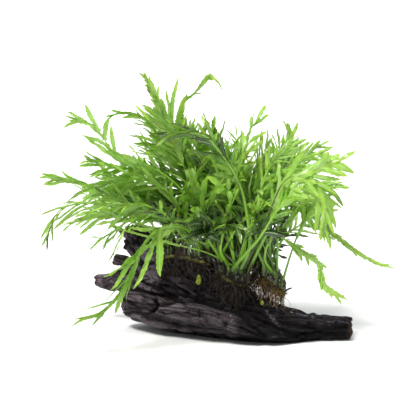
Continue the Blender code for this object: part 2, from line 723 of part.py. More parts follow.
def main():
    clear_scene()
    limbs, wood = make_driftwood()
    trunk = limbs["driftwood_trunk"]
    mats = [make_root_mat(name, trunk, span) for name, span in ROOT_MATS.items()]
    lines, rhizomes = make_rhizomes(trunk)
    buds = [make_bud(name, trunk, place) for name, place in BUDS.items()]
    solids = [tree_of(thing) for thing in wood + mats + rhizomes + buds]
    make_fronds(lines, solids)


main()
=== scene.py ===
"""The finish of a bushy water fern on dark driftwood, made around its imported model.

The driftwood, the rhizomes, their roots, the buds and the fronds are each made again in fine detail
where the plain solids lie.  Tables and working lengths are in millimetres, and meshes are in metres.
X runs to the right, Y to the back and Z up, and the origin is on the flat underside of the wood.
"""
import itertools
import math
import random

import bpy
import numpy as np
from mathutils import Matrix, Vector
from mathutils.bvhtree import BVHTree


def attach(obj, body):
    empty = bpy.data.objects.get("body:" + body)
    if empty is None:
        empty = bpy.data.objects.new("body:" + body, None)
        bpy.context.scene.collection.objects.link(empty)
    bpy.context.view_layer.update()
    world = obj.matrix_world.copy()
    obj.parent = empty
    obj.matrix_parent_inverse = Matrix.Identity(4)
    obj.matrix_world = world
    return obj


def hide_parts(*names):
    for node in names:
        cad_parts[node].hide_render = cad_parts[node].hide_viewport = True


MM = 0.001
UP = Vector((0.0, 0.0, 1.0))
UP_ROW = np.array((0.0, 0.0, 1.0))
MAP_MARGIN = 0.04

# The view: a long lens a little above the wood
CAMERA_RISE = math.radians(10)
CAMERA_DISTANCE = 1.1
FRAME_WIDTH = 0.3328
SENSOR = 36.0
VIEW_CENTRE_X = -0.0096
VIEW_CENTRE_UP = 0.1016

# Driftwood: stations of centre x, y, z, half depth and half height
TRUNK = (
    (-66, 30, 38, 20, 20),
    (-50, 28, 34, 27, 31),
    (-32, 24, 30, 29, 35),
    (-10, 16, 22, 29, 30),
    (18, 6, 13, 29, 22),
    (45, -3, 9, 27, 16),
    (75, -7, 9.5, 20, 10.5),
    (104, -9, 8, 13, 8.2),
)
FRONT_LIMB = (
    (-76, 26, 22, 11, 12.5),
    (-64, 17, 22, 15, 15.5),
    (-40, 1, 20.5, 16.5, 14.5),
    (-12, -13, 20, 16, 14.5),
    (14, -21, 15, 14, 11),
    (38, -24, 9, 12, 7.5),
    (62, -22, 5, 7, 4.5),
)
UPPER_STUMP = (
    (-77, 36, 72, 9.5, 10.5),
    (-70, 35, 70, 13, 13),
    (-54, 32, 62, 19, 20),
    (-32, 26, 42, 18, 18),
)
SIDE_BRANCH = (
    (-103, 48, 34, 3.4, 4.2),
    (-92, 46, 33.5, 6.5, 7.8),
    (-79, 41, 35, 9.5, 12.5),
    (-60, 33, 37, 12, 15),
)
BROKEN_STUB = (
    (-87, 42, 53, 3.4, 4),
    (-80, 40, 52, 4.5, 5),
    (-62, 33, 46, 6, 6),
)
BACK_TIP = (
    (-86, 58, 76, 2.4, 3),
    (-77, 53, 72.5, 4, 5),
    (-60, 42, 63, 8, 8),
)
WOOD_LUMP = 0.05
LIMB_RINGS = 60
LIMB_SIDES = 40
WOOD_VOXEL = 0.82
WOOD_ROUNDS = 9
STUB_VOXEL = 0.6
STUB_ROUNDS = 3
STUB_ROUGH = 0.6
FLAT_BELOW = 0.5
CALM_BELOW = 5.0

# Relief of the wood: heights of its lumps, fibres, threads and chips, depths of what is cut into it
LUMP_HEIGHT = 1.9
FIBRE_HEIGHT = 0.75
THREAD_HEIGHT = 0.45
CHIP_HEIGHT = 1.6
CRACK_DEPTH = 2.4
GROOVE_DEPTH = 1.3
PIT_DEPTH = 1.6
SEAM_DEPTH = 1.6

# The knot on the front limb: its centre, radius, depth and rim
KNOT_X = -56.5
KNOT_Z = 27.0
KNOT_RADIUS = 8.0
KNOT_FLOOR = 1.6
KNOT_HOLLOW = 5.5
KNOT_RIM = 1.0

# Where the wood turns black on the right, partly darker wood and partly painted shade: x of the line's
# foot, height where it starts to slant, slant
BLACK_X = 8.6
BLACK_Z = 29.0
BLACK_SLANT = 1.93

# Pale scars and painted lilac sheen highlights on the front: start and end in x and z, width and strength
SCARS_AND_SHEEN = (
    (5, 29, 9, 22, 0.9, 0.7),
    (9, 22, 9, 15, 1.0, 0.7),
    (33, 28, 37, 23, 1.3, 0.8),
    (37, 23, 45, 15, 1.8, 0.9),
    (45, 15, 49, 7, 1.2, 0.7),
    (-75, 26, -74, 20, 1.8, 0.9),
    # Painted light: a broad pale patch on the upper stump, where the leaves above shade it
    (-76, 75, -60, 66, 9.0, 0.5),
    (58, 22, 78, 18, 0.8, 0.8),
    (78, 18, 102, 14, 0.8, 0.8),
)

# Rhizomes: stations of x along the trunk, angle over the crest, height of the centre over the wood
RHIZOMES = {
    "left": ((-52, 46, 7.5), (-40, 52, 6.8), (-28, 60, 6.6), (-14, 70, 7.0)),
    "middle": ((-9, 66, 8.0), (0, 64, 8.2), (10, 66, 8.6), (20, 76, 9.0)),
    "right": ((26, 88, 16.5), (36, 86, 14.5), (46, 84, 12.0), (52, 82, 10.8)),
    "back_left": ((-30, 106, 7.4), (-20, 108, 6.4), (-10, 112, 6.4), (-2, 114, 6.4)),
    "back_right": ((4, 112, 6.4), (14, 112, 7.0), (26, 122, 8.0), (38, 126, 7.0)),
}
RHIZOME_RADIUS = 1.9
RHIZOME_RIGHT_RADIUS = 2.6
RHIZOME_PLACES = 60
ROOT_LIFT = 0.55
ROOT_RISE = 9

# Buds: x along the trunk, angle over the crest, height over the wood, half width and half height
BUDS = {
    "green_bud_left": (-15.5, 42, 6.4, 2.2, 4.0),
    "dark_bud_right": (49, 84, 17.8, 1.5, 3.3),
    "pale_bud_right": (36.5, 58, 7.5, 1.4, 1.7),
}
BUD_SCALES = 16

# Root fibres: rhizome they hang from, how many, darkest and palest tone, turn from the front to the top
# in degrees, pull of their weight, nodes they stand for
ROOT_TUFTS = (
    ("roots_left", "left", 120, 0.0, 0.34, -80, 0.30, ("root_mat_left",)),
    ("roots_middle", "middle", 170, 0.0, 0.34, -80, 0.35, ("root_mat_middle",)),
    ("roots_right", "right", 64, 0.10, 1.10, -90, 0.70, ("root_mat_right",)),
    ("roots_back", "back_left", 220, 0.0, 0.6, -110, 0.30, ("root_mat_back",)),
    ("roots_back_right", "back_right", 240, 0.1, 0.9, -100, 0.30, ()),
    # The tangles are near-black roots that also stand for the shade at the foot of the bush: partly painted
    # shade
    ("tangle_left", "left", 200, 0.0, 0.18, 150, 0.05, ()),
    ("tangle_middle", "middle", 320, 0.0, 0.18, 155, 0.05, ()),
    ("tangle_back", "back_left", 320, 0.0, 0.18, 100, 0.05, ()),
)
FIBRE_POINTS = 12
FIBRE_RADIUS = 0.19
FIBRE_SIZES = (0.7, 1.0, 1.0, 1.3, 1.9)

# Hairs on the rusty right rhizome and on each of the others: how many, shortest and longest
RUSTY_HAIRS = (1500, 1.2, 3.4)
FRESH_HAIRS = (220, 0.5, 1.3)
RHIZOME_RINGS = 90

# How many dark feet of old stipes stand on each rhizome
OLD_STIPES = {"left": 45, "middle": 70, "right": 14, "back_left": 50, "back_right": 30}

# Fronds: rhizome, place along it, points from the stipe to the tip, roll towards the front in
# degrees, longest lobe, share of the length that is bare stipe
FRONDS = {
    "tall_left_frond": ("left", 0.70, (
        (-24, 2, 117), (-36, -5, 159), (-48, -8, 185), (-56, -10, 204), (-63, -14, 211)), 80, 24, 0.5),
    "top_arching_frond": ("middle", 0.05, (
        (-20, 10, 136), (-30, 12, 178), (-19, 12, 193), (-8, 12, 205), (-1, 12, 201), (2, 12, 193)),
        80, 20, 0.55),
    "centre_arching_frond": ("middle", 0.78, (
        (23, -14, 76), (19, -15, 110), (12, -20, 131), (-2, -25, 153), (-13, -28, 164), (-31, -30, 167),
        (-50, -34, 165)), 55, 26, 0.5),
    "upper_right_frond": ("back_right", 0.18, (
        (14, 2, 121), (14, 0, 135), (20, 0, 153), (24, 0, 166), (34, 0, 179)), 85, 30, 0.5),
    "right_leaf_tip_frond": ("back_right", 0.42, (
        (34, 15, 106), (49, 20, 134), (57, 22, 152), (55, 24, 168)), 80, 26, 0.45),
    "right_top_frond": ("back_right", 0.79, (
        (34, 10, 103), (44, 12, 123), (65, 14, 141), (80, 15, 143), (92, 15, 141)), 60, 28, 0.45),
    "right_high_frond": ("back_right", 0.66, (
        (41, 25, 113), (57, 28, 133), (74, 30, 145), (88, 32, 152)), 70, 26, 0.45),
    "pale_right_frond": ("middle", 0.89, (
        (34, -19, 92), (48, -29, 128), (66, -36, 136), (81, -40, 144), (98, -42, 150)), 70, 30, 0.45),
    "right_middle_frond": ("right", 0.28, (
        (37, 0, 97), (56, -8, 119), (77, -12, 123), (95, -14, 119)), 55, 28, 0.45),
    "right_drooping_frond": ("middle", 1.0, (
        (38, -18, 92), (50, -32, 127), (64, -40, 133), (75, -45, 121), (78, -48, 106), (78, -50, 85)),
        45, 24, 0.5),
    "far_right_frond": ("right", 0.72, (
        (39, 10, 90), (53, 15, 103), (69, 15, 97), (87, 12, 83), (105, 10, 69), (122, 8, 59), (141, 5, 53)),
        50, 22, 0.42),
    "low_right_frond": ("right", 0.58, (
        (39, -3, 68), (40, -6, 83), (49, -11, 81), (63, -18, 72), (76, -23, 64), (78, -26, 54),
        (82, -28, 45), (99, -30, 36)), 55, 18, 0.45),
    "front_right_frond": ("middle", 0.58, (
        (30, -25, 84), (42, -36, 106), (52, -44, 120), (62, -50, 126)), 60, 26, 0.42),
    "upper_left_arching_frond": ("left", 0.48, (
        (-28, 6, 121), (-44, 5, 153), (-56, 2, 171), (-70, 0, 178), (-83, -2, 177), (-90, -4, 169)),
        50, 26, 0.45),
    "left_upper_frond": ("left", 0.38, (
        (-26, -5, 110), (-48, -10, 134), (-73, -14, 139), (-85, -16, 153), (-98, -18, 171),
        (-123, -20, 178)), 70, 28, 0.42),
    "left_straight_frond": ("back_left", 0.30, (
        (-28, 18, 112), (-52, 20, 132), (-77, 20, 132), (-97, 20, 136), (-110, 20, 142)), 65, 28, 0.42),
    "left_middle_frond": ("left", 0.27, (
        (-33, -8, 107), (-55, -14, 127), (-79, -19, 128), (-98, -21, 124), (-114, -23, 129),
        (-136, -25, 131)), 55, 28, 0.4),
    "left_drooping_frond": ("left", 0.16, (
        (-38, -14, 96), (-59, -25, 110), (-82, -31, 110), (-105, -34, 113), (-122, -36, 108),
        (-130, -37, 94), (-136, -38, 79)), 45, 24, 0.4),
    "left_low_frond": ("back_left", 0.08, (
        (-40, 16, 97), (-65, 16, 99), (-89, 17, 95), (-107, 18, 91), (-129, 20, 85)), 50, 22, 0.4),
    "stump_frond": ("left", 0.06, (
        (-45, -16, 96), (-58, -26, 100), (-70, -34, 96), (-77, -39, 86), (-83, -42, 72)), 50, 22, 0.42),
    "front_hanging_frond": ("left", 0.84, (
        (-27, -32, 93), (-40, -42, 96), (-53, -47, 90), (-61, -52, 79), (-65, -54, 69), (-75, -57, 49),
        (-90, -59, 34), (-104, -60, 29), (-114, -60, 22)), 75, 26, 0.3),
    "pale_low_left_frond": ("left", 0.0, (
        (-54, -6, 92), (-68, -10, 96), (-82, -13, 88), (-94, -14, 82), (-102, -14, 86)), 45, 18, 0.45),
    "centre_tall_frond": ("back_left", 0.80, (
        (-18, 9, 117), (-17, 3, 145), (-17, -3, 168)), 80, 28, 0.45),
    "centre_broad_frond": ("middle", 0.22, (
        (-11, -24, 86), (-13, -34, 106), (-16, -40, 122), (-24, -46, 142)), 85, 24, 0.35),
    "centre_front_frond": ("middle", 0.40, (
        (0, -22, 74), (4, -36, 100), (6, -46, 119), (-4, -56, 132)), 70, 24, 0.38),
    "centre_back_frond": ("back_left", 0.98, (
        (6, 24, 96), (2, 26, 131), (-4, 30, 152), (-12, 34, 170)), 70, 28, 0.45),
    "left_centre_frond": ("back_left", 0.55, (
        (-26, 14, 118), (-38, 16, 146), (-50, 22, 164)), 75, 28, 0.42),
    "right_centre_frond": ("right", 0.10, (
        (29, -5, 73), (28, -6, 100), (34, -10, 128), (44, -16, 152)), 80, 28, 0.42),
    "low_centre_frond": ("left", 0.98, (
        (-9, -22, 86), (4, -38, 97), (20, -50, 95)), 30, 18, 0.45),
    "front_low_right_frond": ("right", 0.44, (
        (35, -13, 64), (37, -20, 78), (48, -26, 88), (64, -30, 89)), 40, 18, 0.5),
    "front_left_low_frond": ("left", 0.58, (
        (-31, -26, 88), (-42, -44, 106), (-52, -62, 112)), 35, 22, 0.42),
    "back_left_frond": ("back_left", 0.18, (
        (-42, 48, 106), (-58, 68, 126), (-74, 88, 124)), 20, 28, 0.42),
    "back_centre_frond": ("back_left", 0.68, (
        (-12, 44, 110), (-10, 66, 138), (-8, 90, 146)), 15, 30, 0.42),
    "back_right_frond": ("back_right", 0.54, (
        (28, 42, 92), (42, 64, 112), (58, 86, 112)), 20, 28, 0.42),
    "back_low_right_frond": ("back_right", 0.92, (
        (50, 36, 68), (70, 54, 80), (92, 68, 70)), 25, 24, 0.42),
    "back_low_frond": ("back_right", 0.30, (
        (8, 56, 78), (10, 80, 84), (12, 102, 66)), 15, 26, 0.42),
    "back_low_left_frond": ("back_left", 0.42, (
        (-40, 62, 90), (-58, 84, 92), (-80, 100, 74)), 20, 26, 0.42),
}
UPRIGHT_REACH = 12

# How a frond looks: half width of a lobe, depth of its teeth, droop, paleness, darkness of the stipe,
# half width of the wing beside the rachis, angles of the first and last lobes, space between lobes,
# radius of the stipe, whether its lobes may hang in the bare zones, and lengths of the lobes along it
PLAIN_LOOK = {
    "width": 2.3,
    "teeth": 0.24,
    "droop": 0.12,
    "pale": 0.45,
    "dark": 0.10,
    "wing": 1.1,
    "angles": (40, 20),
    "spacing": 8.2,
    "stipe": 1.15,
    "low": False,
    "lengths": ((0, 0.75), (0.3, 1.0), (0.6, 0.9), (1, 0.42)),
}
LOOKS = {
    "tall_left_frond": {"width": 2.2, "pale": 0.75, "wing": 3.2, "angles": (20, 12), "spacing": 5.0,
                        "lengths": ((0, 1.7), (0.3, 1.6), (0.5, 0.6), (1, 0.2))},
    "top_arching_frond": {"width": 1.7, "pale": 0.75, "wing": 3.3, "angles": (22, 14), "spacing": 5.0,
                          "lengths": ((0, 1.1), (0.2, 0.5), (0.5, 0.3), (1, 0.14)), "stipe": 0.9},
    "centre_arching_frond": {"width": 2.4, "pale": 0.05, "droop": 0.2, "wing": 2.2, "angles": (34, 18),
                             "stipe": 1.7},
    "upper_right_frond": {"width": 2.6, "pale": 0.6, "dark": 0.5, "angles": (34, 22), "spacing": 9.5},
    "right_leaf_tip_frond": {"width": 2.5, "pale": 0.8, "angles": (26, 14), "wing": 1.8},
    "right_top_frond": {"width": 2.1, "pale": 0.6, "angles": (30, 16)},
    "right_high_frond": {"width": 2.0, "pale": 0.6, "angles": (32, 16)},
    "pale_right_frond": {"width": 3.6, "pale": 0.78, "dark": 0.95, "teeth": 0.16, "wing": 2.4,
                         "angles": (34, 16), "spacing": 11.0},
    "right_drooping_frond": {"width": 3.0, "pale": 0.68, "droop": 0.3, "angles": (30, 14), "wing": 3.0,
                             "stipe": 1.7, "low": True},
    "far_right_frond": {"width": 2.2, "pale": 0.8, "dark": 0.5, "wing": 2.7, "angles": (22, 12),
                        "low": True, "spacing": 9.0,
                        "lengths": ((0, 0.9), (0.3, 0.6), (0.6, 0.35), (1, 0.2))},
    "low_right_frond": {"width": 2.0, "pale": 0.85, "wing": 2.8, "angles": (24, 14), "spacing": 8.5,
                        "stipe": 1.3, "low": True, "lengths": ((0, 0.6), (0.5, 0.55), (1, 0.35))},
    "front_low_right_frond": {"width": 2.2, "pale": 0.7, "angles": (28, 16), "stipe": 1.3},
    "front_right_frond": {"width": 3.0, "pale": 0.6, "angles": (38, 20), "stipe": 1.8},
    "upper_left_arching_frond": {"width": 2.2, "pale": 0.5, "droop": 0.2, "angles": (32, 16), "wing": 1.9,
                                 "lengths": ((0, 1.0), (0.4, 0.8), (0.7, 0.4), (1, 0.25))},
    "left_upper_frond": {"width": 2.4, "pale": 0.85, "angles": (34, 14), "spacing": 10.5, "wing": 0.7},
    "left_straight_frond": {"width": 2.4, "pale": 0.6, "angles": (32, 16)},
    "left_middle_frond": {"width": 2.4, "pale": 0.6, "droop": 0.16, "angles": (30, 14), "wing": 1.6},
    "left_drooping_frond": {"width": 1.9, "pale": 0.6, "droop": 0.24, "angles": (28, 12)},
    "left_low_frond": {"width": 2.2, "pale": 0.7, "droop": 0.15, "angles": (28, 14), "wing": 1.5},
    "pale_low_left_frond": {"width": 1.9, "pale": 0.95, "droop": 0.15, "angles": (30, 16)},
    "stump_frond": {"width": 2.0, "pale": 0.55, "droop": 0.2, "angles": (24, 12), "wing": 1.8, "low": True,
                    "lengths": ((0, 0.7), (0.5, 0.5), (1, 0.35))},
    "front_hanging_frond": {"width": 3.0, "pale": 0.5, "dark": 0.05, "wing": 2.8, "stipe": 1.3},
    "centre_tall_frond": {"width": 3.6, "pale": 0.35, "teeth": 0.34, "wing": 2.4, "dark": 0.3},
    "centre_broad_frond": {"width": 4.0, "pale": 0.55, "teeth": 0.36, "wing": 2.8, "stipe": 1.6},
    "centre_front_frond": {"width": 3.7, "pale": 0.50, "teeth": 0.32, "wing": 2.4, "stipe": 1.7},
    "centre_back_frond": {"width": 3.2, "pale": 0.3, "teeth": 0.3, "wing": 2.2, "dark": 0.3},
    "left_centre_frond": {"width": 3.0, "pale": 0.45, "teeth": 0.3, "wing": 2.0},
    "right_centre_frond": {"width": 3.2, "pale": 0.5, "teeth": 0.3, "wing": 2.0, "stipe": 1.6},
    "low_centre_frond": {"width": 3.1, "pale": 0.45, "teeth": 0.3, "droop": 0.2, "stipe": 1.8},
}
# Lobes of the hanging frond, set one by one: place along it, tip, bow to the side and half width
HANGING_LOBES = (
    (0.30, (-69, -56, 97), 0.04, 2.2),
    (0.36, (-88, -60, 61), 0.10, 4.0),
    (0.42, (-45, -54, 60), -0.16, 3.3),
    (0.43, (-66, -57, 51), 0.12, 2.3),
    (0.52, (-83, -61, 51), 0.06, 2.2),
    (0.58, (-71, -59, 42), -0.06, 2.2),
    (0.66, (-90, -61, 40), 0.05, 1.8),
    (0.68, (-80, -60, 33), -0.05, 3.0),
    (0.78, (-106, -61, 35), 0.04, 1.8),
    (0.82, (-97, -61, 24), -0.04, 1.8),
    (0.90, (-111, -61, 29), 0.04, 1.5),
)
# No lobe hangs among the bare stipes, over the stump or in the gap at the right: x range, furthest y
# and height of each of these places
BARE_ZONES = ((-78, 112, 40, 83), (-80, -46, 40, 92), (54, 78, 40, 98))
# Lobes low in the middle of the bush are painted darker, partly as the shade inside the bush and partly as
# older leaves: middle, reach and soft edge in x, heights where it starts and is darkest, and how much
SHADE_X = 2
SHADE_REACH = 60
SHADE_EDGE = 20
SHADE_TOP = 113
SHADE_FULL = 84
SHADE_DEPTH = 0.85
LEFT_PALENESS = 0.14
TINT_SPREAD = 0.28

# Grooves cut into the front and painted dark as the shade in them: start and end in x and z, width and
# depth
CREVICES = (
    (-66, 44, -45, 36, 2.0, 2.4),
    (-45, 36, -31, 32, 1.8, 2.0),
    (-20, 38, -6, 31, 1.8, 2.2),
    (-6, 31, 14, 26, 2.0, 2.4),
    (14, 26, 34, 9, 1.8, 2.0),
    (-17, 27, -17, 19, 1.0, 1.0),
    (-17, 19, -13, 14, 1.0, 1.0),
    (16, 15, 34, 7, 1.6, 1.8),
    (34, 7, 48, 3, 1.4, 1.6),
    (64, 9, 92, 3, 1.4, 1.6),
    (-62, 29, -54, 25, 0.9, 1.0),
    (-55, 21, -59, 17, 0.9, 1.0),
)

TOOTH_LENGTH = 4.2
TOOTH_STEPS = (0.0, 0.45, 0.86)
SPINE_STEPS = 90
RACHIS_END = 0.16
LEAF_THICKNESS = 0.28

# Young and inner fronds that fill the bush, and the pieces that they are gathered in
INNER_FRONDS = 50
LEFT_FRONDS = 9
TOP_FRONDS = 14
LOW_FRONDS = 30
INNER_PIECES = 6
GOLDEN_TURN = math.radians(137.508)

WOOD_NODES = ("driftwood_trunk", "driftwood_front_limb", "driftwood_upper_stump",
              "driftwood_side_branch", "driftwood_back_tip")


def smooth_path(points, count):
    """Returns count + 1 points, evenly spaced, on a smooth curve through the given points."""
    knots = [Vector(p) for p in points]
    knots = [2 * knots[0] - knots[1]] + knots + [2 * knots[-1] - knots[-2]]
    dense = []
    steps = 16
    for i in range(1, len(knots) - 2):
        before, start, end, after = knots[i - 1:i + 3]
        for k in range(steps):
            t = k / steps
            dense.append(0.5 * (2 * start + (end - before) * t
                                + (2 * before - 5 * start + 4 * end - after) * t * t
                                + (3 * start - before - 3 * end + after) * t ** 3))
    dense.append(knots[-2])
    dense = np.array(dense)
    reach = np.concatenate(([0.0], np.cumsum(np.linalg.norm(np.diff(dense, axis=0), axis=1))))
    goals = np.linspace(0, reach[-1], count + 1)
    return np.stack([np.interp(goals, reach, dense[:, axis]) for axis in range(3)], axis=1)


def unit(vectors):
    """Vectors of length one, from one vector or from rows of them."""
    vectors = np.asarray(vectors, float)
    return vectors / np.maximum(np.linalg.norm(vectors, axis=-1, keepdims=True), 1e-9)


def ease(low, high, values):
    """Rises smoothly from 0 at low to 1 at high."""
    share = np.clip((values - low) / (high - low), 0, 1)
    return share * share * (3 - 2 * share)


def uneven(points, seed):
    """Smooth random numbers from -1 to 1 at rows of points, with bumps one unit apart."""
    cell = np.floor(points).astype(np.int64)
    part = points - cell
    part = part * part * (3 - 2 * part)
    total = np.zeros(len(points))
    for corner in itertools.product((0, 1), repeat=3):
        key = (cell + np.array(corner)) @ np.array((73856093, 19349663, 83492791)) + seed * 1274126177
        key = ((key ^ (key >> 13)) * 1540483477) & 0x7FFFFFFF
        key = ((key ^ (key >> 15)) * 668265263) & 0x7FFFFFFF
        weight = np.prod(np.where(np.array(corner) == 1, part, 1 - part), axis=1)
        total += ((key ^ (key >> 13)) & 0xFFFF) / 32767.5 * weight - weight
    return total


class Amount:
    """A number in a finish.  Arithmetic on it adds Math nodes."""

    def __init__(self, finish, socket):
        self.finish = finish
        self.socket = socket

    def join(self, operation, first, second=0.0, third=0.0):
        node = self.finish.node("Math", {"operation": operation}, {0: first, 1: second, 2: third})
        return Amount(self.finish, node.outputs[0])

    def __add__(self, other):
        return self.join("ADD", self, other)

    def __sub__(self, other):
        return self.join("SUBTRACT", self, other)

    def __rsub__(self, other):
        return self.join("SUBTRACT", other, self)

    def __mul__(self, other):
        return self.join("MULTIPLY", self, other)

    def __abs__(self):
        return self.join("ABSOLUTE", self)

    __radd__ = __add__
    __rmul__ = __mul__

    def within(self, low, high):
        """0 below low, 1 above high and smooth between; the other way round if low is over high."""
        settings = {"interpolation_type": "SMOOTHSTEP"}
        sockets = {"Value": self, "From Min": min(low, high), "From Max": max(low, high)}
        sockets.update({"To Min": float(low > high), "To Max": float(low < high)})
        return Amount(self.finish, self.finish.node("MapRange", settings, sockets).outputs["Result"])


class Finish:
    """A material, built one node at a time around one Principled shader."""

    def __init__(self, name):
        self.material = bpy.data.materials.new(name)
        self.material.use_nodes = True
        self.tree = self.material.node_tree
        self.shader = self.tree.nodes["Principled BSDF"]

    def node(self, kind, settings=None, sockets=None):
        """Adds a node.  Its settings are set first, then its sockets get values or links."""
        node = self.tree.nodes.new("ShaderNode" + kind)
        for name, value in (settings or {}).items():
            if name == "stops":
                stops = node.color_ramp.elements
                while len(stops) < len(value):
                    stops.new(1.0)
                for stop, (place, colour) in zip(stops, value):
                    stop.position = place
                    stop.color = (*colour, 1.0)
            else:
                setattr(node, name, value)
        for name, value in (sockets or {}).items():
            self.put(node.inputs[name], value)
        return node

    def put(self, socket, value):
        """Gives a socket a value or a link."""
        if isinstance(value, Amount):
            value = value.socket
        if isinstance(value, bpy.types.NodeSocket):
            self.tree.links.new(value, socket)
        elif isinstance(value, tuple) and socket.type == "RGBA":
            socket.default_value = (*value, 1.0)
        else:
            socket.default_value = value

    def marks(self, name):
        """The three numbers that a mesh keeps at each corner under a name."""
        vector = self.node("Attribute", {"attribute_name": name}).outputs["Vector"]
        split = self.node("SeparateXYZ", {}, {0: vector})
        return vector, [Amount(self, split.outputs[i]) for i in range(3)]

    def stretched(self, vector, scale):
        """Coordinates multiplied by a number along each axis."""
        settings = {"operation": "MULTIPLY"}
        return self.node("VectorMath", settings, {0: vector, 1: scale}).outputs[0]

    def noise(self, vector, scale, detail=3.0, roughness=0.5, twist=0.0):
        sockets = {"Vector": vector, "Scale": scale, "Detail": detail}
        sockets.update({"Roughness": roughness, "Distortion": twist})
        return Amount(self, self.node("TexNoise", {}, sockets).outputs[0])

    def cells(self, vector, scale):
        sockets = {"Vector": vector, "Scale": scale}
        return Amount(self, self.node("TexVoronoi", {}, sockets).outputs["Distance"])

    def places(self):
        """Coordinates in metres, fixed to the piece."""
        return self.node("TexCoord").outputs["Object"]

    def blend(self, share, first, second):
        """A colour that goes from the first to the second as share goes from 0 to 1."""
        settings = {"data_type": "RGBA"}
        return self.node("Mix", settings, {0: share, 6: first, 7: second}).outputs[2]

    def ramp(self, share, stops):
        return self.node("ValToRGB", {"stops": stops}, {0: share}).outputs[0]

    def bump(self, height, depth, below=None):
        """A bumped normal from a height between 0 and 1 and its full depth in millimetres."""
        sockets = {"Height": height, "Strength": 1.0, "Distance": depth * MM}
        if below is not None:
            sockets["Normal"] = below
        return self.node("Bump", {}, sockets).outputs[0]

    def set(self, **values):
        """Sets the Principled shader's sockets, with _ in place of a space."""
        for name, value in values.items():
            self.put(self.shader.inputs[name.replace("_", " ")], value)
        return self


def wood_finish(name, broken):
    """Dark damp driftwood; broken is 0 for the old surface and 1 for bare brown wood."""
    finish = Finish(name)
    grain, _ = finish.marks("grain")
    _, (end, scar_and_sheen, height) = finish.marks("wear")
    _, (black_and_shade, ledge, crevice_shade) = finish.marks("shade")
    fibres = finish.noise(finish.stretched(grain, (0.05, 0.95, 0.95)), 1.0, 5.0, 0.65, 0.4)
    streaks = finish.noise(finish.stretched(grain, (0.02, 0.24, 0.24)), 1.0, 4.0, 0.6, 0.6)
    specks = finish.noise(grain, 0.85, 3.0, 0.7)
    patches = finish.noise(grain, 0.06, 3.0, 0.5)
    # height is the relief here: ridges lighter and hollows darker, partly wear and partly painted shade
    tone = (fibres.within(0.36, 0.64) * 0.36 + streaks.within(0.36, 0.64) * 0.20
            + specks.within(0.38, 0.64) * 0.22 + height * 0.22 + (patches - 0.5) * 0.5)
    old = finish.ramp(tone, (
        (0.12, (0.0190, 0.0135, 0.0150)), (0.34, (0.0600, 0.0460, 0.0510)),
        (0.55, (0.1250, 0.0990, 0.1150)), (0.85, (0.2300, 0.1960, 0.2280))))
    rust = finish.noise(grain, 0.12, 3.0, 0.6).within(0.54, 0.70)
    old = finish.blend(rust * 0.40, old, (0.0700, 0.0360, 0.0240))
    # Painted highlight: a pale lilac that stands for the sheen of wet wood as well as for pale scars
    lilac_sheen = finish.blend(specks.within(0.42, 0.62), (0.050, 0.042, 0.054), (0.300, 0.260, 0.330))
    dim = finish.ramp(tone, (
        (0.20, (0.0018, 0.0013, 0.0015)), (0.50, (0.0062, 0.0046, 0.0052)),
        (0.90, (0.0290, 0.0230, 0.0260))))
    old = finish.blend(ledge * 0.5, old, (0.0380, 0.0290, 0.0260))
    # Partly painted shade: the right of the wood is darkened as the shade under the foliage as well as
    # darker wood
    old = finish.blend(black_and_shade, old, dim)
    old = finish.blend(scar_and_sheen * fibres.within(0.40, 0.60) * 0.85, old, lilac_sheen)
    # Painted shade: cracks, grooves, seams, pits and the knot's hollow are darkened nearly to black
    old = finish.blend(crevice_shade * 0.92, old, (0.0012, 0.0009, 0.0010))
    bare = finish.ramp(fibres * 0.6 + specks * 0.4, (
        (0.34, (0.012, 0.007, 0.006)), (0.48, (0.042, 0.024, 0.015)),
        (0.60, (0.120, 0.070, 0.036)), (0.75, (0.330, 0.220, 0.130))))
    share = (end * 0.75 + broken * 0.8) * patches.within(0.34, 0.56)
    colour = finish.blend(share, old, bare)
    bump = finish.bump(fibres, 1.8)
    bump = finish.bump(specks, 1.0, bump)
    finish.set(Base_Color=colour, Roughness=0.40 + specks * 0.40, Specular_IOR_Level=0.11, Normal=bump)
    return finish.material


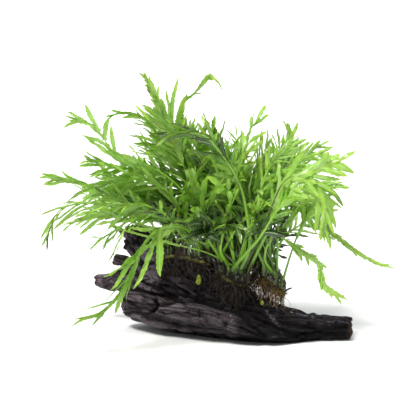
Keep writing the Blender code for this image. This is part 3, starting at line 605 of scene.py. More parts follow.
def leaf_finish(name):
    """A thin satin leaf: veins, a paler midrib, yellow-green tips, and a stipe that browns at its foot."""
    finish = Finish(name)
    _, (along, across, stem) = finish.marks("leaf")
    _, (pale, age, dark) = finish.marks("tone")
    places = finish.places()
    mottling = finish.noise(places, 95.0, 3.0, 0.6)
    fine = finish.noise(places, 900.0, 2.0, 0.5)
    edge = abs(across)
    rib = edge.within(0.20, 0.04)
    veins = finish.node("Math", {"operation": "PINGPONG"}, {0: along * 26.0 - edge * 3.2, 1: 0.5})
    veins = Amount(finish, veins.outputs[0]).within(0.12, 0.0) * edge.within(0.05, 0.2)
    green = finish.ramp(pale * 0.72 + mottling * 0.5 + fine * 0.08, (
        (0.16, (0.007, 0.034, 0.003)), (0.36, (0.080, 0.225, 0.014)),
        (0.58, (0.225, 0.470, 0.036)), (0.78, (0.390, 0.640, 0.095)), (1.0, (0.580, 0.780, 0.280))))
    tip = along.within(0.45, 1.0) * (0.25 + pale * 0.75)
    green = finish.blend(tip * 0.75, green, (0.500, 0.690, 0.055))
    green = finish.blend(edge.within(0.80, 1.0) * 0.35, green, (0.060, 0.190, 0.014))
    green = finish.blend(veins * 0.30, green, (0.420, 0.600, 0.200))
    green = finish.blend(rib * 0.40, green, (0.480, 0.660, 0.260))
    spots = finish.noise(places, 260.0, 2.0, 0.4).within(0.66, 0.74) * age
    green = finish.blend(spots * 0.85, green, (0.120, 0.055, 0.012))
    tired = finish.noise(places, 40.0, 1.0).within(0.62, 0.74) * age
    green = finish.blend(tired * 0.6, green, (0.420, 0.430, 0.030))
    stipe = finish.ramp(along + (mottling - 0.5) * 0.25, (
        (0.0, (0.040, 0.034, 0.010)), (0.05, (0.090, 0.190, 0.014)),
        (0.20, (0.190, 0.430, 0.024)), (1.0, (0.340, 0.580, 0.080))))
    stipe = finish.blend(dark, stipe, (0.026, 0.020, 0.008))
    colour = finish.blend(stem, green, stipe)
    relief = finish.bump(0.5 + veins * 0.5 + fine * 0.5, 0.22)
    finish.set(Base_Color=colour, Roughness=0.20 + mottling * 0.18, Specular_IOR_Level=0.75, Normal=relief)
    glow = finish.node("BsdfTranslucent", {}, {"Color": (0.50, 0.80, 0.060), "Normal": relief})
    share = (1 - stem) * (0.10 + pale * 0.42 - rib * 0.08)
    both = finish.node("MixShader", {}, {0: share, 1: finish.shader.outputs[0], 2: glow.outputs[0]})
    output = finish.tree.nodes["Material Output"]
    finish.tree.links.new(both.outputs[0], output.inputs["Surface"])
    return finish.material


def root_finish(name):
    """Wiry root fibres, from black through brown to cream."""
    finish = Finish(name)
    _, (tone, _, _) = finish.marks("fibre")
    mottling = finish.noise(finish.places(), 700.0, 2.0, 0.6)
    colour = finish.ramp(tone + (mottling - 0.5) * 0.35, (
        (0.10, (0.010, 0.006, 0.004)), (0.42, (0.050, 0.024, 0.011)),
        (0.66, (0.210, 0.105, 0.040)), (0.92, (0.640, 0.470, 0.280))))
    finish.set(Base_Color=colour, Roughness=0.45 + mottling * 0.3, Normal=finish.bump(mottling, 0.12))
    return finish.material


def rhizome_finish(name, brown):
    """A creeping stem in small scales; brown runs from 0, yellow-green, to 1."""
    finish = Finish(name)
    places = finish.places()
    mottling = finish.noise(places, 160.0, 3.0, 0.6)
    scales = finish.cells(places, 620.0)
    fine = finish.noise(places, 1400.0, 2.0, 0.6)
    fresh = finish.ramp(mottling, (
        (0.30, (0.050, 0.040, 0.010)), (0.50, (0.130, 0.140, 0.016)), (0.72, (0.300, 0.320, 0.035))))
    rusty = finish.ramp(mottling + (fine - 0.5) * 0.4, (
        (0.30, (0.022, 0.012, 0.004)), (0.48, (0.085, 0.042, 0.008)),
        (0.60, (0.190, 0.100, 0.014)), (0.78, (0.200, 0.170, 0.020))))
    colour = finish.blend(brown, fresh, rusty)
    colour = finish.blend(scales.within(0.35, 0.7) * 0.6, colour, (0.020, 0.012, 0.005))
    relief = finish.bump(1 - scales, 0.5)
    finish.set(Base_Color=colour, Roughness=0.5 + mottling * 0.2, Normal=finish.bump(fine, 0.1, relief))
    return finish.material


def bud_finish(name, dark):
    """Soft scaly bud, yellow-green or dark olive."""
    finish = Finish(name)
    places = finish.places()
    mottling = finish.noise(places, 420.0, 3.0, 0.6)
    bright = finish.ramp(mottling, (
        (0.32, (0.070, 0.085, 0.008)), (0.52, (0.220, 0.270, 0.014)), (0.72, (0.430, 0.490, 0.045))))
    deep = finish.ramp(mottling, (
        (0.32, (0.010, 0.018, 0.006)), (0.52, (0.030, 0.055, 0.012)), (0.72, (0.090, 0.120, 0.020))))
    colour = finish.blend(dark, bright, deep)
    finish.set(Base_Color=colour, Roughness=0.45 + mottling * 0.1, Normal=finish.bump(mottling, 0.3))
    return finish.material


def hair_finish(name):
    """Short rusty hairs and scales on a rhizome."""
    finish = Finish(name)
    _, (tone, _, _) = finish.marks("fibre")
    colour = finish.ramp(tone, (
        (0.10, (0.014, 0.008, 0.003)), (0.50, (0.060, 0.034, 0.006)), (0.95, (0.240, 0.190, 0.030))))
    gloss = finish.noise(finish.places(), 500.0)
    finish.set(Base_Color=colour, Roughness=0.4 + gloss * 0.3)
    return finish.material


class Growth:
    """Corners, faces, map places and marks gathered for one piece."""

    def __init__(self, *marks):
        self.marks = {name: [] for name in marks}
        self.corners = []
        self.faces = []
        self.maps = []
        self.cells = 0
        self.count = 0

    def add(self, corners, groups, **marks):
        """Adds one closed shape.  groups are pairs of faces and the map places of their corners."""
        for faces, maps in groups:
            self.faces.append(faces + self.count)
            self.maps.append((self.cells, maps))
        self.corners.append(corners)
        for name, values in marks.items():
            self.marks[name].append(np.broadcast_to(values, (len(corners), 3)))
        self.count += len(corners)
        self.cells += 1

    def finish(self, name, material, crease=40):
        """Makes the object.  Every shape gets its own cell of the map that its finish is baked on."""
        mesh = bpy.data.meshes.new(name)
        corners = np.concatenate(self.corners) * MM
        faces = [face for group in self.faces for face in group.tolist()]
        mesh.from_pydata(corners.tolist(), [], faces)
        columns = math.ceil(math.sqrt(self.cells * 3))
        rows = math.ceil(self.cells / columns)
        spread = []
        for cell, maps in self.maps:
            low = np.array((cell % columns, cell // columns)) + MAP_MARGIN
            places = (low + maps.reshape(-1, 2) * (1 - 2 * MAP_MARGIN)) / np.array((columns, rows))
            spread.append(places)
        layer = mesh.uv_layers.new(name="OFBake")
        layer.data.foreach_set("uv", np.concatenate(spread).astype(np.float32).ravel())
        for mark, values in self.marks.items():
            attribute = mesh.attributes.new(mark, "FLOAT_VECTOR", "POINT")
            attribute.data.foreach_set("vector", np.concatenate(values).astype(np.float32).ravel())
        mesh.materials.append(material)
        mesh.shade_smooth()
        mesh.set_sharp_from_angle(angle=math.radians(crease))
        thing = bpy.data.objects.new(name, mesh)
        bpy.context.scene.collection.objects.link(thing)
        return thing


def settle(piece, slot, *nodes):
    """Makes a piece ride on the body in place of the plain nodes, which it hides. The slot is not used."""
    if nodes:
        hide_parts(*nodes)
    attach(piece, "root")


# Faces and map places, kept for each kind of blade or tube once they are worked out
FACES = {}


def blade_faces(stations):
    """Faces and map places of a blade with so many sections, worked out once for each number."""
    if stations in FACES:
        return FACES[stations]
    edges = (0.0, 0.24, 0.48, 0.52, 0.76, 1.0)
    faces = []
    maps = []
    for i in range(stations - 1):
        low, high = 0.03 + 0.94 * i / (stations - 1), 0.03 + 0.94 * (i + 1) / (stations - 1)
        for k in range(4):
            after = (k + 1) % 4
            faces.append((4 * i + k, 4 * i + after, 4 * i + 4 + after, 4 * i + 4 + k))
            left, right = edges[k + k // 2], edges[k + k // 2 + 1]
            maps.append(((left, low), (right, low), (right, high), (left, high)))
    last = 4 * (stations - 1)
    faces += [(0, 3, 2, 1), (last, last + 1, last + 2, last + 3)]
    maps += [((0.1, low), (0.2, low), (0.2, low + 0.02), (0.1, low + 0.02)) for low in (0.0, 0.98)]
    FACES[stations] = ((np.array(faces), np.array(maps)),)
    return FACES[stations]


def add_blade(growth, middles, sides, ups, left, right, lifts, thick, leaf, tone):
    """Adds a thin closed leaf blade, folded along its middle.

    middles, sides and ups are rows of points and directions, left and right are half widths, lifts
    are the heights of the two edges over the middle, and leaf is where each row lies along it.
    """
    half = np.stack((-left, 0 * left, right, 0 * left), 1)
    full = thick * np.minimum(1.0, (left + right) / 1.5)
    arch = np.stack((lifts[0], 0 * left, lifts[1], -full), 1)
    corners = middles[:, None] + sides[:, None] * half[..., None] + ups[:, None] * arch[..., None]
    marks = np.zeros((len(middles), 4, 3))
    marks[..., 0] = leaf[:, None]
    marks[..., 1] = (-1, 0, 1, 0)
    growth.add(corners.reshape(-1, 3), blade_faces(len(middles)), leaf=marks.reshape(-1, 3), tone=tone)


def tube_faces(rings, sides):
    """Faces and map places of a closed tube with flat ends of four corners or more."""
    key = (rings, sides)
    if key in FACES:
        return FACES[key]
    faces = []
    maps = []
    for i in range(rings - 1):
        low, high = i / (rings - 1) * 0.94 + 0.03, (i + 1) / (rings - 1) * 0.94 + 0.03
        for k in range(sides):
            after = (k + 1) % sides
            near, far = sides * i, sides * (i + 1)
            faces.append((near + k, near + after, far + after, far + k))
            left, right = k / sides, (k + 1) / sides
            maps.append(((left, low), (right, low), (right, high), (left, high)))
    turn = np.arange(sides) * 2 * math.pi / sides
    disc = np.stack((0.5 + 0.3 * np.cos(turn), 0.015 + 0.012 * np.sin(turn)), 1)
    ends = np.array([np.arange(sides)[::-1], np.arange(sides) + sides * (rings - 1)])
    FACES[key] = ((np.array(faces), np.array(maps)), (ends, np.array([disc, disc + (0.0, 0.97)])))
    return FACES[key]


def add_tube(growth, path, radii, sides, flat=1.0, **marks):
    """Adds a closed round tube along rows of points.  marks are rows of three for each point."""
    along = unit(np.gradient(path, axis=0))
    lead = UP_ROW if abs(along[:, 2]).mean() < 0.8 else np.array((0.0, 1.0, 0.0))
    side = unit(np.cross(along, lead))
    top = np.cross(side, along)
    turn = np.arange(sides) * 2 * math.pi / sides
    radii = np.broadcast_to(radii, (len(path),))
    corners = (path[:, None] + side[:, None] * (np.cos(turn)[:, None] * radii[:, None, None])
               + top[:, None] * (np.sin(turn)[:, None] * radii[:, None, None] * flat))
    rows = {name: np.repeat(np.broadcast_to(values, (len(path), 3)), sides, axis=0)
            for name, values in marks.items()}
    growth.add(corners.reshape(-1, 3), tube_faces(len(path), sides), **rows)


class Limb:
    """A length of wood: lumpy rings around a smooth centre line that runs from left to right."""

    def __init__(self, stations, phase, free_right=False):
        self.free_right = free_right
        self.stations = [Vector(s[:3]) for s in stations]
        self.depths = [s[3] for s in stations]
        self.heights = [s[4] for s in stations]
        self.phase = phase

    def blend(self, values, u):
        place = min(max(u, 0.0), 1.0) * (len(values) - 1)
        i = min(int(place), len(values) - 2)
        t = place - i
        before = values[max(i - 1, 0)]
        after = values[min(i + 2, len(values) - 1)]
        start, end = values[i], values[i + 1]
        return 0.5 * (2 * start + (end - before) * t
                      + (2 * before - 5 * start + 4 * end - after) * t * t
                      + (3 * start - before - 3 * end + after) * t ** 3)

    def centre(self, u):
        return self.blend(self.stations, u)

    def lump(self, u, angle):
        wave = (0.5 * math.sin(2 * angle + 7 * u + self.phase)
                + 0.3 * math.sin(3 * angle - 11 * u + 2 * self.phase)
                + 0.2 * math.sin(5 * angle + 17 * u + 3 * self.phase))
        return 1.0 + WOOD_LUMP * wave

    def axes(self, u):
        along = (self.centre(min(u + 0.01, 1.0)) - self.centre(max(u - 0.01, 0.0))).normalized()
        front = along.cross(UP).normalized()
        return along, front, front.cross(along).normalized()

    def point(self, u, angle, lift=0.0):
        """A point on the wood: angle 0 is the front, 90 degrees is the crest."""
        _, front, top = self.axes(u)
        lump = self.lump(u, angle)
        depth = self.blend(self.depths, u) * lump + lift
        height = self.blend(self.heights, u) * lump + lift
        return self.centre(u) + front * (math.cos(angle) * depth) + top * (math.sin(angle) * height)

    def share_at(self, x):
        """The share along the limb where its centre line reaches x."""
        low, high = 0.0, 1.0
        for _ in range(40):
            middle = (low + high) / 2
            if self.centre(middle).x < x:
                low = middle
            else:
                high = middle
        return low

    def skin(self):
        """Corners and faces of the closed limb."""
        corners = []
        faces = []
        for i in range(LIMB_RINGS + 1):
            for k in range(LIMB_SIDES):
                corners.append(self.point(i / LIMB_RINGS, 2 * math.pi * k / LIMB_SIDES))
        for i in range(LIMB_RINGS):
            for k in range(LIMB_SIDES):
                a, b = i * LIMB_SIDES + k, i * LIMB_SIDES + (k + 1) % LIMB_SIDES
                faces.append((a, a + LIMB_SIDES, b + LIMB_SIDES, b))
        faces.append(tuple(range(LIMB_SIDES)))
        faces.append(tuple(range(len(corners) - 1, len(corners) - 1 - LIMB_SIDES, -1)))
        return corners, faces

    def grain(self, points):
        """Each point's place by the centre line, how far out it lies, and how far from the free end."""
        steps = 80
        shares = [i / steps for i in range(steps + 1)]
        centres = np.array([self.centre(u) for u in shares])
        axes = np.array([[tuple(axis) for axis in self.axes(u)] for u in shares])
        sizes = np.array([(self.blend(self.depths, u), self.blend(self.heights, u)) for u in shares])
        reach = np.concatenate(([0.0], np.cumsum(np.linalg.norm(np.diff(centres, axis=0), axis=1))))
        nearest = np.zeros(len(points), int)
        best = np.full(len(points), np.inf)
        for i in range(steps + 1):
            gap = np.linalg.norm(points - centres[i], axis=1)
            closer = gap < best
            best[closer] = gap[closer]
            nearest[closer] = i
        away = points - centres[nearest]
        along = np.einsum("ij,ij->i", away, axes[nearest, 0])
        front = np.einsum("ij,ij->i", away, axes[nearest, 1])
        top = np.einsum("ij,ij->i", away, axes[nearest, 2])
        length = reach[nearest] + along
        past = np.maximum(np.maximum(-length, length - reach[-1]), 0)
        out = np.sqrt((front / sizes[nearest, 0]) ** 2 + (top / sizes[nearest, 1]) ** 2 + (past / 6) ** 2)
        ends = reach[-1] - length if self.free_right else length
        return np.stack((length, front, top), 1), out, ends


def smooth_skin(limbs, voxel, rounds):
    """Corners, faces and normals of one closed skin around all the limbs."""
    mesh = bpy.data.meshes.new("skin")
    corners = []
    faces = []
    for limb in limbs:
        more, around = limb.skin()
        faces += [tuple(index + len(corners) for index in face) for face in around]
        corners += more
    mesh.from_pydata([tuple(c) for c in corners], [], faces)
    thing = bpy.data.objects.new("skin", mesh)
    bpy.context.scene.collection.objects.link(thing)
    remesh = thing.modifiers.new("voxels", "REMESH")
    remesh.mode = "VOXEL"
    remesh.voxel_size = voxel
    smooth = thing.modifiers.new("smooth", "SMOOTH")
    smooth.iterations = rounds
    smooth.factor = 0.5
    seen = thing.evaluated_get(bpy.context.evaluated_depsgraph_get())
    result = bpy.data.meshes.new_from_object(seen)
    points = np.zeros(len(result.vertices) * 3)
    result.vertices.foreach_get("co", points)
    normals = np.zeros(len(result.vertices) * 3)
    result.vertex_normals.foreach_get("vector", normals)
    around = [tuple(face.vertices) for face in result.polygons]
    bpy.data.objects.remove(thing)
    return points.reshape(-1, 3), around, normals.reshape(-1, 3)


def knot(points, normals):
    """The knot's height at each point of the front limb, its pale eye and the painted shade of its hollow.
    """
    x = (points[:, 0] - KNOT_X) / KNOT_RADIUS
    z = (points[:, 2] - KNOT_Z) / KNOT_RADIUS
    out = np.sqrt(x * x + z * z) + 0.10 * uneven(points / 3.0, 31)
    turn = np.arctan2(z, x)
    facing = ease(0.1, 0.5, -normals[:, 1]) * (points[:, 1] < 30)
    rim = KNOT_RIM * np.exp(-((out - 1.08) / 0.17) ** 2)
    floor = -KNOT_FLOOR * ease(1.0, 0.78, out)
    side = np.clip(1.5 * np.cos(turn + 0.15), 0, 1)
    hollow = -KNOT_HOLLOW * np.exp(-((out - 0.70) / 0.20) ** 2) * side
    eye = np.exp(-(((x + 0.35) / 0.45) ** 2 + ((z - 0.12) / 0.40) ** 2))
    return (rim + floor + hollow) * facing, eye * facing, ease(-1.2, -3.2, hollow) * facing


def front_strokes(points, normals, strokes, seed):
    """The size of the strokes at each point of the front, each given by two ends, a width and a size."""
    marks = np.zeros(len(points))
    wander = np.stack((uneven(points / 2.5, seed), uneven(points / 2.5, seed + 1)), 1)
    flat = points[:, (0, 2)] + 0.9 * wander
    for x_start, z_start, x_end, z_end, width, size in strokes:
        start = np.array((x_start, z_start), float)
        way = np.array((x_end, z_end), float) - start
        share = np.clip((flat - start) @ way / (way @ way), 0, 1)
        gap = np.linalg.norm(flat - start - share[:, None] * way, axis=1)
        marks = np.maximum(marks, size * ease(width, width * 0.3, gap))
    return marks * (normals[:, 1] < 0.1)


def black_parts(points):
    """How black the wood is at each point, partly dark wood and partly painted shade, most to the right of
    a slanting line, and its low ledge.
    """
    x = points[:, 0] + 4 * uneven(points / 9, 21)
    z = points[:, 2]
    line = BLACK_X - BLACK_SLANT * np.clip(z - BLACK_Z, 0, 22)
    black_and_shade = ease(line - 5, line + 7, x)
    middle = ease(-38, -20, x) * (0.55 + 0.23 * ease(22, 32, z + 0.45 * x))
    upper = 0.35 * ease(44, 54, z) * ease(-56, -44, x)
    ledge = ease(9, 5, z + uneven(points / 6, 22)) * ease(-20, 0, x) * ease(62, 46, x)
    return np.maximum(black_and_shade * (1 - 0.75 * ledge), np.maximum(upper, middle)), ledge


def carve(limbs, voxel, rounds, rough):
    """The limbs' skin with its grooves, fibres, pits, chipped ends and knot, and what its finish reads."""
    points, faces, normals = smooth_skin(limbs, voxel, rounds)
    grain = np.zeros_like(points)
    ends = np.zeros(len(points))
    best = np.full(len(points), np.inf)
    second = np.full(len(points), np.inf)
    for number, limb in enumerate(limbs):
        places, out, end = limb.grain(points)
        closer = out < best
        second = np.where(closer, best, np.minimum(second, out))
        best = np.where(closer, out, best)
        grain[closer] = places[closer] + (37.0 * number, 11.0 * number, 5.0 * number)
        ends[closer] = end[closer]
    seam = ease(0.10, 0.0, second - best) * ease(0.70, 0.95, best)
    wander = 2.5 * uneven(points / 14, 3)[:, None] * np.array((0, 1, 1))
    field = grain + wander
    crack = ease(0.72, 1.0, 1 - abs(uneven(field / (58, 8.5, 8.5), 5)))
    groove = ease(0.80, 1.0, 1 - abs(uneven(field / (34, 4.2, 4.2), 6)))
    fibre = uneven(field / (17, 2.6, 2.6), 7)
    thread = uneven(field / (8, 1.8, 1.8), 8)
    lump = uneven(points / 17, 9)
    pit = ease(0.50, 0.85, uneven(field / (7, 3.6, 3.6), 10))
    chip = uneven(grain / (5, 3.4, 3.4), 11) + 0.6 * uneven(grain / (9, 1.9, 1.9), 12)
    broken = ease(5.0, 0.5, ends)
    cleft = front_strokes(points, normals, CREVICES, 45)
    height = rough * (LUMP_HEIGHT * lump - CRACK_DEPTH * crack - GROOVE_DEPTH * groove
                      + FIBRE_HEIGHT * fibre + THREAD_HEIGHT * thread - PIT_DEPTH * pit)
    height += CHIP_HEIGHT * chip * broken - SEAM_DEPTH * rough * seam - cleft
    around_knot, eye, hollow_shade = knot(points, normals)
    height += around_knot
    height *= ease(0.0, CALM_BELOW, points[:, 2])
    points = points + normals * height[:, None]
    points[:, 2] = np.where(points[:, 2] < FLAT_BELOW, 0.0, points[:, 2])
    # Lighter on ridges and darker in hollows: partly wear, partly painted shade
    worn_and_shaded = np.clip(0.5 + 0.20 * height + 0.2 * fibre, 0, 1)
    # Pale scars and painted sheen highlights, with the knot's pale eye
    scars_and_sheen = np.maximum(front_strokes(points, normals, SCARS_AND_SHEEN, 41), 0.6 * eye)
    black_and_shade, ledge = black_parts(points)
    # Painted shade in cracks, grooves, seams, pits, the knot's hollow and the cut grooves
    crevice_shade = np.clip(0.9 * crack + 0.6 * groove + seam + pit + hollow_shade + 0.5 * cleft, 0, 1)
    marks = {
        "grain": grain,
        "wear": np.stack((broken, scars_and_sheen, worn_and_shaded), 1),
        "shade": np.stack((black_and_shade, ledge, crevice_shade), 1),
    }
    return points, faces, marks


def make_wood(name, limbs, voxel, rounds, rough, material):
    points, faces, marks = carve(limbs, voxel, rounds, rough)
    mesh = bpy.data.meshes.new(name)
    mesh.from_pydata((points * MM).tolist(), [], faces)
    for mark, values in marks.items():
        attribute = mesh.attributes.new(mark, "FLOAT_VECTOR", "POINT")
        attribute.data.foreach_set("vector", values.astype(np.float32).ravel())
    mesh.materials.append(material)
    mesh.shade_smooth()
    thing = bpy.data.objects.new(name, mesh)
    bpy.context.scene.collection.objects.link(thing)
    return thing, points, faces


def make_driftwood():
    """The wood, as one weathered piece and a broken stub, and the surface that roots creep over."""
    limbs = {
        "trunk": Limb(TRUNK, 0.3, free_right=True),
        "front_limb": Limb(FRONT_LIMB, 1.9),
        "upper_stump": Limb(UPPER_STUMP, 2.6),
        "side_branch": Limb(SIDE_BRANCH, 4.0),
        "back_tip": Limb(BACK_TIP, 0.9),
    }
    stub = Limb(BROKEN_STUB, 5.1)
    old_wood = wood_finish("old_driftwood", 0.0)
    wood, points, faces = make_wood(
        "weathered_driftwood", list(limbs.values()), WOOD_VOXEL, WOOD_ROUNDS, 1.0, old_wood)
    settle(wood, "driftwood", *WOOD_NODES)
    bare_wood = wood_finish("broken_brown_wood", 1.0)
    snapped, _, _ = make_wood("snapped_stub", [stub], STUB_VOXEL, STUB_ROUNDS, STUB_ROUGH, bare_wood)
    settle(snapped, "broken_wood", "driftwood_broken_stub")
    return limbs["trunk"], BVHTree.FromPolygons([tuple(p) for p in points], faces)


def rhizome_line(trunk, stations, count):
    points = [trunk.point(trunk.share_at(x), math.radians(angle), height) for x, angle, height in stations]
    return smooth_path(points, count)


def make_rhizomes(trunk):
    """Creeping stems in scales, the right one rusty and hairy, and the lines the fronds grow from."""
    fresh = rhizome_finish("fresh_rhizome", 0.35)
    rusty = rhizome_finish("rusty_rhizome", 1.0)
    hairs = hair_finish("rusty_hairs")
    lines = {}
    for number, (name, stations) in enumerate(RHIZOMES.items()):
        right = name == "right"
        radius = RHIZOME_RIGHT_RADIUS if right else RHIZOME_RADIUS
        line = rhizome_line(trunk, stations, RHIZOME_PLACES)
        lines[name] = (line, radius)
        share = np.linspace(0, 1, RHIZOME_RINGS + 1)
        path = rhizome_line(trunk, stations, RHIZOME_RINGS)
        path = path + 0.5 * np.stack([uneven(path / 4 + 9 * axis, number) for axis in range(3)], 1)
        knobs = 1 + 0.16 * np.sin(share * 46) + 0.18 * uneven(path / 2.0, 50 + number)
        radii = radius * knobs * (0.72 + 0.28 * np.sin(math.pi * share)) * np.minimum(1, 0.35 + 9 * share)
        radii = radii * np.minimum(1, 0.3 + 9 * (1 - share))
        stem = Growth()
        add_tube(stem, path, radii, 14)
        piece = stem.finish("creeping_rhizome_" + name, rusty if right else fresh)
        settle(piece, "rhizome", "rhizome_" + name)
        chance = random.Random("hairs " + name)
        fuzz = Growth("fibre")
        hairs_here, shortest, longest = RUSTY_HAIRS if right else FRESH_HAIRS
        for _ in range(hairs_here):
            i = chance.randrange(2, RHIZOME_RINGS - 2)
            along, out = around(path, i, chance.uniform(0, 2 * math.pi))
            length = chance.uniform(shortest, longest)
            root = path[i] + out * (radii[i] * 0.85)
            lean = unit(out + along * chance.uniform(-0.2, 1.1) + UP_ROW * chance.uniform(-0.5, 0.2))
            steps = np.array((0, 0.5, 1.0))[:, None]
            strand = root + lean * (length * steps) + along * (0.35 * length * steps ** 2)
            tone = (chance.uniform(0.05, 1.0), 0, 0)
            add_tube(fuzz, strand, np.array((0.17, 0.12, 0.03)), 3, fibre=tone)
        settle(fuzz.finish("hairs_" + name, hairs), "rhizome")
    return lines


def fibre_path(chance, start, heading, surface, spread, pull):
    """Points of a root that hangs from its rhizome, reaches the wood and creeps over it."""
    step = chance.uniform(1.2, 2.6)
    lift = chance.uniform(0.2, 0.8)
    place = Vector(start)
    way = Vector(heading).normalized()
    path = [place.copy()]
    for _ in range(FIBRE_POINTS - 1):
        way += Vector([chance.gauss(0, spread) for _ in range(3)])
        near, normal, _, gap = surface.find_nearest(place)
        if (place - near).dot(normal) < 0 or gap < lift + step * 0.7:
            way -= normal * way.dot(normal)
            way.z -= 0.10
            way.normalize()
            place = near + normal * lift + way * step
        else:
            way.z -= pull
            way.normalize()
            place = place + way * step
        place.z = max(place.z, 0.4)
        path.append(place.copy())
    return np.array([tuple(p) for p in path])


def around(line, i, turn):
    """Directions along a line at one of its points, and out of it after a turn from its side to its top."""
    along = unit(line[i + 1] - line[i - 1])
    side = unit(np.cross(along, UP_ROW))
    return along, side * math.cos(turn) + np.cross(side, along) * math.sin(turn)


def make_roots(lines, surface):
    """Mats of wiry roots that bind the rhizomes to the wood, and the near-black tangle over them, which is
    partly painted shade.
    """
    material = root_finish("wiry_roots")
    for name, rhizome, count, low, high, facing, pull, nodes in ROOT_TUFTS:
        chance = random.Random(name)
        line, radius = lines[rhizome]
        tuft = Growth("fibre")
        for _ in range(count):
            i = chance.randrange(1, len(line) - 1)
            along, out = around(line, i, math.radians(chance.gauss(facing, 55)))
            start = line[i] + out * (radius * 0.8) + along * chance.uniform(-1, 1)
            heading = out + along * chance.gauss(0, 0.7)
            path = fibre_path(chance, start, heading, surface, 0.36, pull)
            radii = FIBRE_RADIUS * chance.choice(FIBRE_SIZES) * np.linspace(1.15, 0.45, len(path))
            tone = (low + (high - low) * chance.random() ** 1.4, 0, 0)
            add_tube(tuft, path, radii, 3, fibre=tone)
        settle(tuft.finish(name, material), "roots", *nodes)


def make_old_stipes(lines):
    """Dark feet of fallen fronds that stand between the living ones."""
    material = root_finish("old_stipe_feet")
    old = Growth("fibre")
    for rhizome, (line, radius) in lines.items():
        chance = random.Random("old " + rhizome)
        for _ in range(OLD_STIPES[rhizome]):
            i = chance.randrange(1, len(line) - 1)
            along, out = around(line, i, math.radians(chance.gauss(120, 38)))
            length = chance.uniform(5, 24)
            t = np.linspace(0, 1, 6)[:, None]
            lean = unit(out + along * chance.gauss(0, 0.3) + UP_ROW * 0.7)
            curl = along * chance.gauss(0, 0.25) - out * 0.15
            path = line[i] + out * (radius * 0.6) + (lean * t + curl * t ** 2) * length
            radii = chance.uniform(0.45, 0.95) * np.array((1.3, 1.1, 1.0, 0.95, 0.85, 0.55))
            add_tube(old, path, radii, 6, fibre=(chance.uniform(0.0, 0.42), 0, 0))
    settle(old.finish("old_stipe_feet", material), "roots")


def make_buds(trunk):
    """Buds of overlapping scales."""
    finishes = {
        "green_bud_left": bud_finish("yellow_green_bud", 0.0),
        "dark_bud_right": bud_finish("dark_olive_bud", 1.0),
        "pale_bud_right": bud_finish("pale_bud", 0.0),
    }
    for name, (x, angle, height, wide, tall) in BUDS.items():
        middle = np.array(trunk.point(trunk.share_at(x), math.radians(angle), height))
        chance = random.Random(name)
        bud = Growth("leaf", "tone")
        rise = np.linspace(-1, 1, 17)
        core = middle + np.stack((0.18 * wide * np.sin(2 * rise), 0 * rise, tall * rise), 1)
        radii = wide * (0.10 + 0.80 * np.sqrt(np.maximum(1 - rise ** 2, 0)) * (1 - 0.25 * rise))
        radii = radii * (1 + 0.12 * np.sin(9 * rise))
        add_tube(bud, core, radii, 12, leaf=(0.5, 0, 0), tone=(0.9, 0, 0))
        for number in range(BUD_SCALES):
            turn = number * GOLDEN_TURN
            low = -0.75 + 1.35 * number / BUD_SCALES
            t = np.linspace(0, 1, 7)
            out = np.array((math.cos(turn), math.sin(turn), 0.0))
            side = np.array((-math.sin(turn), math.cos(turn), 0.0))
            shell = np.sqrt(np.maximum(1 - (low + 0.62 * t) ** 2, 0.02))
            path = middle + out * (wide * 0.92 * shell + 0.25 * t)[:, None]
            path = path + UP_ROW * (tall * (low + 0.62 * t))[:, None]
            ups = np.repeat(out[None], 7, 0)
            width = wide * 0.55 * np.sin(math.pi * (0.15 + 0.82 * t)) ** 0.8
            lifts = (-0.30 * width, -0.30 * width)
            sides = np.repeat(side[None], 7, 0)
            add_blade(bud, path, -sides, ups, width, width, lifts, 0.22, t, (chance.uniform(0.6, 1), 0, 0))
        settle(bud.finish("scaly_" + name, finishes[name]), "bud", name)


class Spine:
    """The line of a frond from its root to its tip, with the directions that its lobes are set by."""

    def __init__(self, root, points, roll):
        path = [root, root + UP * ROOT_RISE] + [Vector(p) for p in points]
        self.points = smooth_path(path, SPINE_STEPS)
        self.length = np.linalg.norm(np.diff(self.points, axis=0), axis=1).sum()
        heading = Vector(points[-1]) - root
        heading.z = 0
        if heading.length < UPRIGHT_REACH:
            heading = Vector((-1, 0, 0))
        normal = np.array(UP.cross(heading.normalized()))
        self.alongs = unit(np.gradient(self.points, axis=0))
        side = unit(normal - self.alongs * (self.alongs @ normal)[:, None])
        turn = math.radians(roll)
        self.sides = unit(side * math.cos(turn) + np.cross(self.alongs, side) * math.sin(turn))
        self.ups = np.cross(self.sides, self.alongs)

    def at(self, share):
        """The point, along, side and up at a share of the length."""
        i = min(int(share * SPINE_STEPS), SPINE_STEPS - 1)
        t = share * SPINE_STEPS - i
        rows = (self.points, self.alongs, self.sides, self.ups)
        return [row[i] * (1 - t) + row[i + 1] * t for row in rows]


def along_teeth(length):
    """Shares along a blade at the foot, flank and tip of each tooth, and the last share."""
    count = max(3, round(length / TOOTH_LENGTH))
    shares = [(tooth + step) / count for tooth in range(count) for step in TOOTH_STEPS]
    return np.array(shares + [1.0])


def tooth_widths(chance, stations, depth, offset):
    """Shares of the half width that leave forward-pointing teeth along one edge."""
    steps = (np.arange(stations) + offset) % len(TOOTH_STEPS)
    teeth = (np.arange(stations) + offset) // len(TOOTH_STEPS)
    sizes = np.array([chance.uniform(0.3, 1.4) for _ in range(teeth[-1] + 1)])
    return 1 - depth * sizes[teeth] * np.array((1.0, 0.45, 0.0))[steps]


